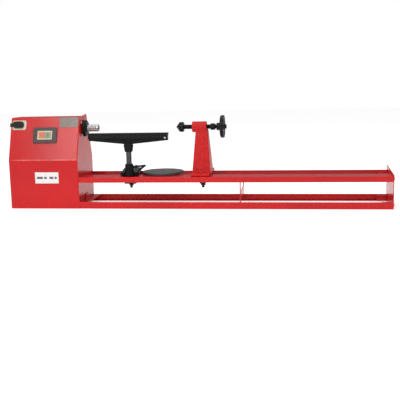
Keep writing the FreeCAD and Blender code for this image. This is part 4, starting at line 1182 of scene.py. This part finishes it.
# ------------------------------------------------------------------ tailstock
@dataclass
class Tailstock(SubAssembly):
    """Rough red casting with its screw, wheel, nuts and turning centre."""

    pitch: float = 0.0030
    depth: float = 0.0012

    def screw(self) -> None:
        """Screw with a rounded thread and a plain spigot for its wheel."""
        low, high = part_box("tail_screw")
        axis = (low + high) / 2
        radius = (high.z - low.z) / 2
        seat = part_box("handwheel")[0].x
        profile = [(low.x, 0.0), (low.x, radius - 2 * self.depth)]
        for i in range(int((seat - low.x) / self.pitch) - 1):
            start = low.x + (i + 0.5) * self.pitch
            profile += [(start, radius - self.depth), (start + self.pitch * 0.35, radius),
                        (start + self.pitch * 0.65, radius)]
        profile += [(start + self.pitch, radius - self.depth), (seat, radius - self.depth),
                    (seat, radius * 0.8), (high.x, radius * 0.8), (high.x, 0.0)]
        self.show(Shape.lathe(profile, Run.X, axis, 48), "feed_screw", "tail_screw", "dark_steel",
                  ("tail_screw",), crease=25.0)

    def build(self) -> None:
        """Build every piece of the tailstock."""
        self.cast("tailstock_casting", "tailstock", "red_casting", 0.0015, 6)
        self.screw()
        self.softened("handwheel", "tail_screw", "black_plastic", 0.0014)
        self.softened("acorn_nut", "tail_screw", "dark_steel", 0.0004)
        self.softened("tail_lock_nut", "tail_lock_nut", "dark_steel", 0.0009)
        self.softened("live_centre_housing", "live_centre", "dark_steel", 0.0009)
        self.softened("centre_point", "centre_point", "dark_steel", 0.0007)
        self.softened("tail_clamp_bolt", "tailstock", "dark_steel", 0.0006)
        self.softened("tail_clamp_plate", "tailstock", "black_casting", 0.0010)
        self.softened("tail_clamp_nut", "tail_clamp_nut", "dark_steel", 0.0008)


# ------------------------------------------------------------------ studio
@dataclass(frozen=True)
class Lamp:
    """Soft square light that looks at a point."""

    name: str
    spot: Point
    target: Point
    width: float
    height: float
    watts: float

    def build(self) -> None:
        """Add the light to the scene."""
        data = bpy.data.lights.new(self.name, "AREA")
        data.shape = "RECTANGLE"
        data.size, data.size_y, data.energy = self.width, self.height, self.watts
        lamp = bpy.data.objects.new(self.name, data)
        bpy.context.scene.collection.objects.link(lamp)
        look = (Vector(self.target) - Vector(self.spot)).to_track_quat("-Z", "Y")
        lamp.matrix_world = Matrix.Translation(self.spot) @ look.to_matrix().to_4x4()


@dataclass
class Studio:
    """Pale floor, soft light and the camera."""

    reach: float = 9.0
    camera_spot: Point = (0.9199, -2.5676, 0.4514)
    yaw: float = 7.770
    pitch: float = 9.519
    roll: float = -1.228
    lens: float = 62.757
    sensor: float = 36.0
    glow: float = 0.42
    low_air: float = 0.12
    high_air: float = 0.70
    low_air_height: float = 0.05
    high_air_height: float = 0.65
    lamps: tuple[Lamp, ...] = (
        Lamp("key", (-0.45, -2.7, 2.1), (0.2, 0.0, 0.2), 1.3, 1.1, 34.0),
        Lamp("top", (0.5, 0.2, 2.8), (0.5, 0.0, 0.0), 3.2, 2.2, 24.0),
        Lamp("right", (3.0, -1.2, 1.4), (0.6, 0.0, 0.2), 1.6, 1.4, 6.0),
    )

    def floor(self) -> None:
        """Pale floor under the lathe."""
        mesh = bpy.data.meshes.new("floor")
        shape = Shape()
        bmesh.ops.create_grid(shape.bm, x_segments=4, y_segments=4, size=self.reach)
        shape.moved(Matrix.Translation((0, 0, -0.2 * MM)))
        shape.bm.to_mesh(mesh)
        shape.bm.free()
        recipe = Recipe("floor")
        shade = recipe.blend(recipe.noise(2.0, 2.0), (0.90, 0.90, 0.90), (0.93, 0.93, 0.93))
        mesh.materials.append(recipe.finish({
            "Base Color": shade, "Roughness": 0.7, "Emission Color": WHITE, "Emission Strength": self.glow}))
        floor = bpy.data.objects.new("floor", mesh)
        bpy.context.scene.collection.objects.link(floor)

    def air(self) -> None:
        """Surroundings: plain white to the eye, dimmer towards the horizon for everything they light."""
        world = bpy.data.worlds.new("white_room")
        world.use_nodes = True
        graph = Graph(world.node_tree)
        height = graph.axis(graph.add("ShaderNodeTexCoord"), Run.Z)
        lit = graph.add("ShaderNodeMapRange", None, {
            0: height, 1: self.low_air_height, 2: self.high_air_height, 3: self.low_air, 4: self.high_air})
        strength = graph.add("ShaderNodeMix", None, {0: graph.add("ShaderNodeLightPath"), 2: lit, 3: 1.0})
        graph.set(world.node_tree.nodes["Background"], {0: WHITE, 1: strength})
        bpy.context.scene.world = world

    def camera(self) -> None:
        """Camera in front of the lathe and to its right."""
        data = bpy.data.cameras.new("camera")
        data.sensor_width, data.lens = self.sensor, self.lens
        yaw, pitch, roll = (math.radians(a) for a in (self.yaw, self.pitch, self.roll))
        ahead = Vector((-math.sin(yaw) * math.cos(pitch), math.cos(yaw) * math.cos(pitch), -math.sin(pitch)))
        level = Vector((math.cos(yaw), math.sin(yaw), 0.0))
        top = level.cross(ahead)
        right = level * math.cos(roll) + top * math.sin(roll)
        up = top * math.cos(roll) - level * math.sin(roll)
        camera = bpy.data.objects.new("camera", data)
        bpy.context.scene.collection.objects.link(camera)
        turn = Matrix((right, up, -ahead)).transposed().to_4x4()
        camera.matrix_world = Matrix.Translation(self.camera_spot) @ turn
        bpy.context.scene.camera = camera

    def build(self) -> None:
        """Build the studio."""
        bpy.context.scene.view_settings.view_transform = "Standard"
        self.floor()
        self.air()
        self.camera()
        for lamp in self.lamps:
            lamp.build()


def main() -> None:
    """Build the lathe and its studio."""
    logging.basicConfig(level=logging.INFO, format="%(message)s")
    palette = Palette()
    palette.dress_frame()
    for kind in (Headstock, Drive, Bed, ToolRest, Faceplate, Tailstock):
        LOG.info("building the %s", kind.__name__)
        kind(palette).build()
    Studio().build()


if __name__ == "__main__":
    main()
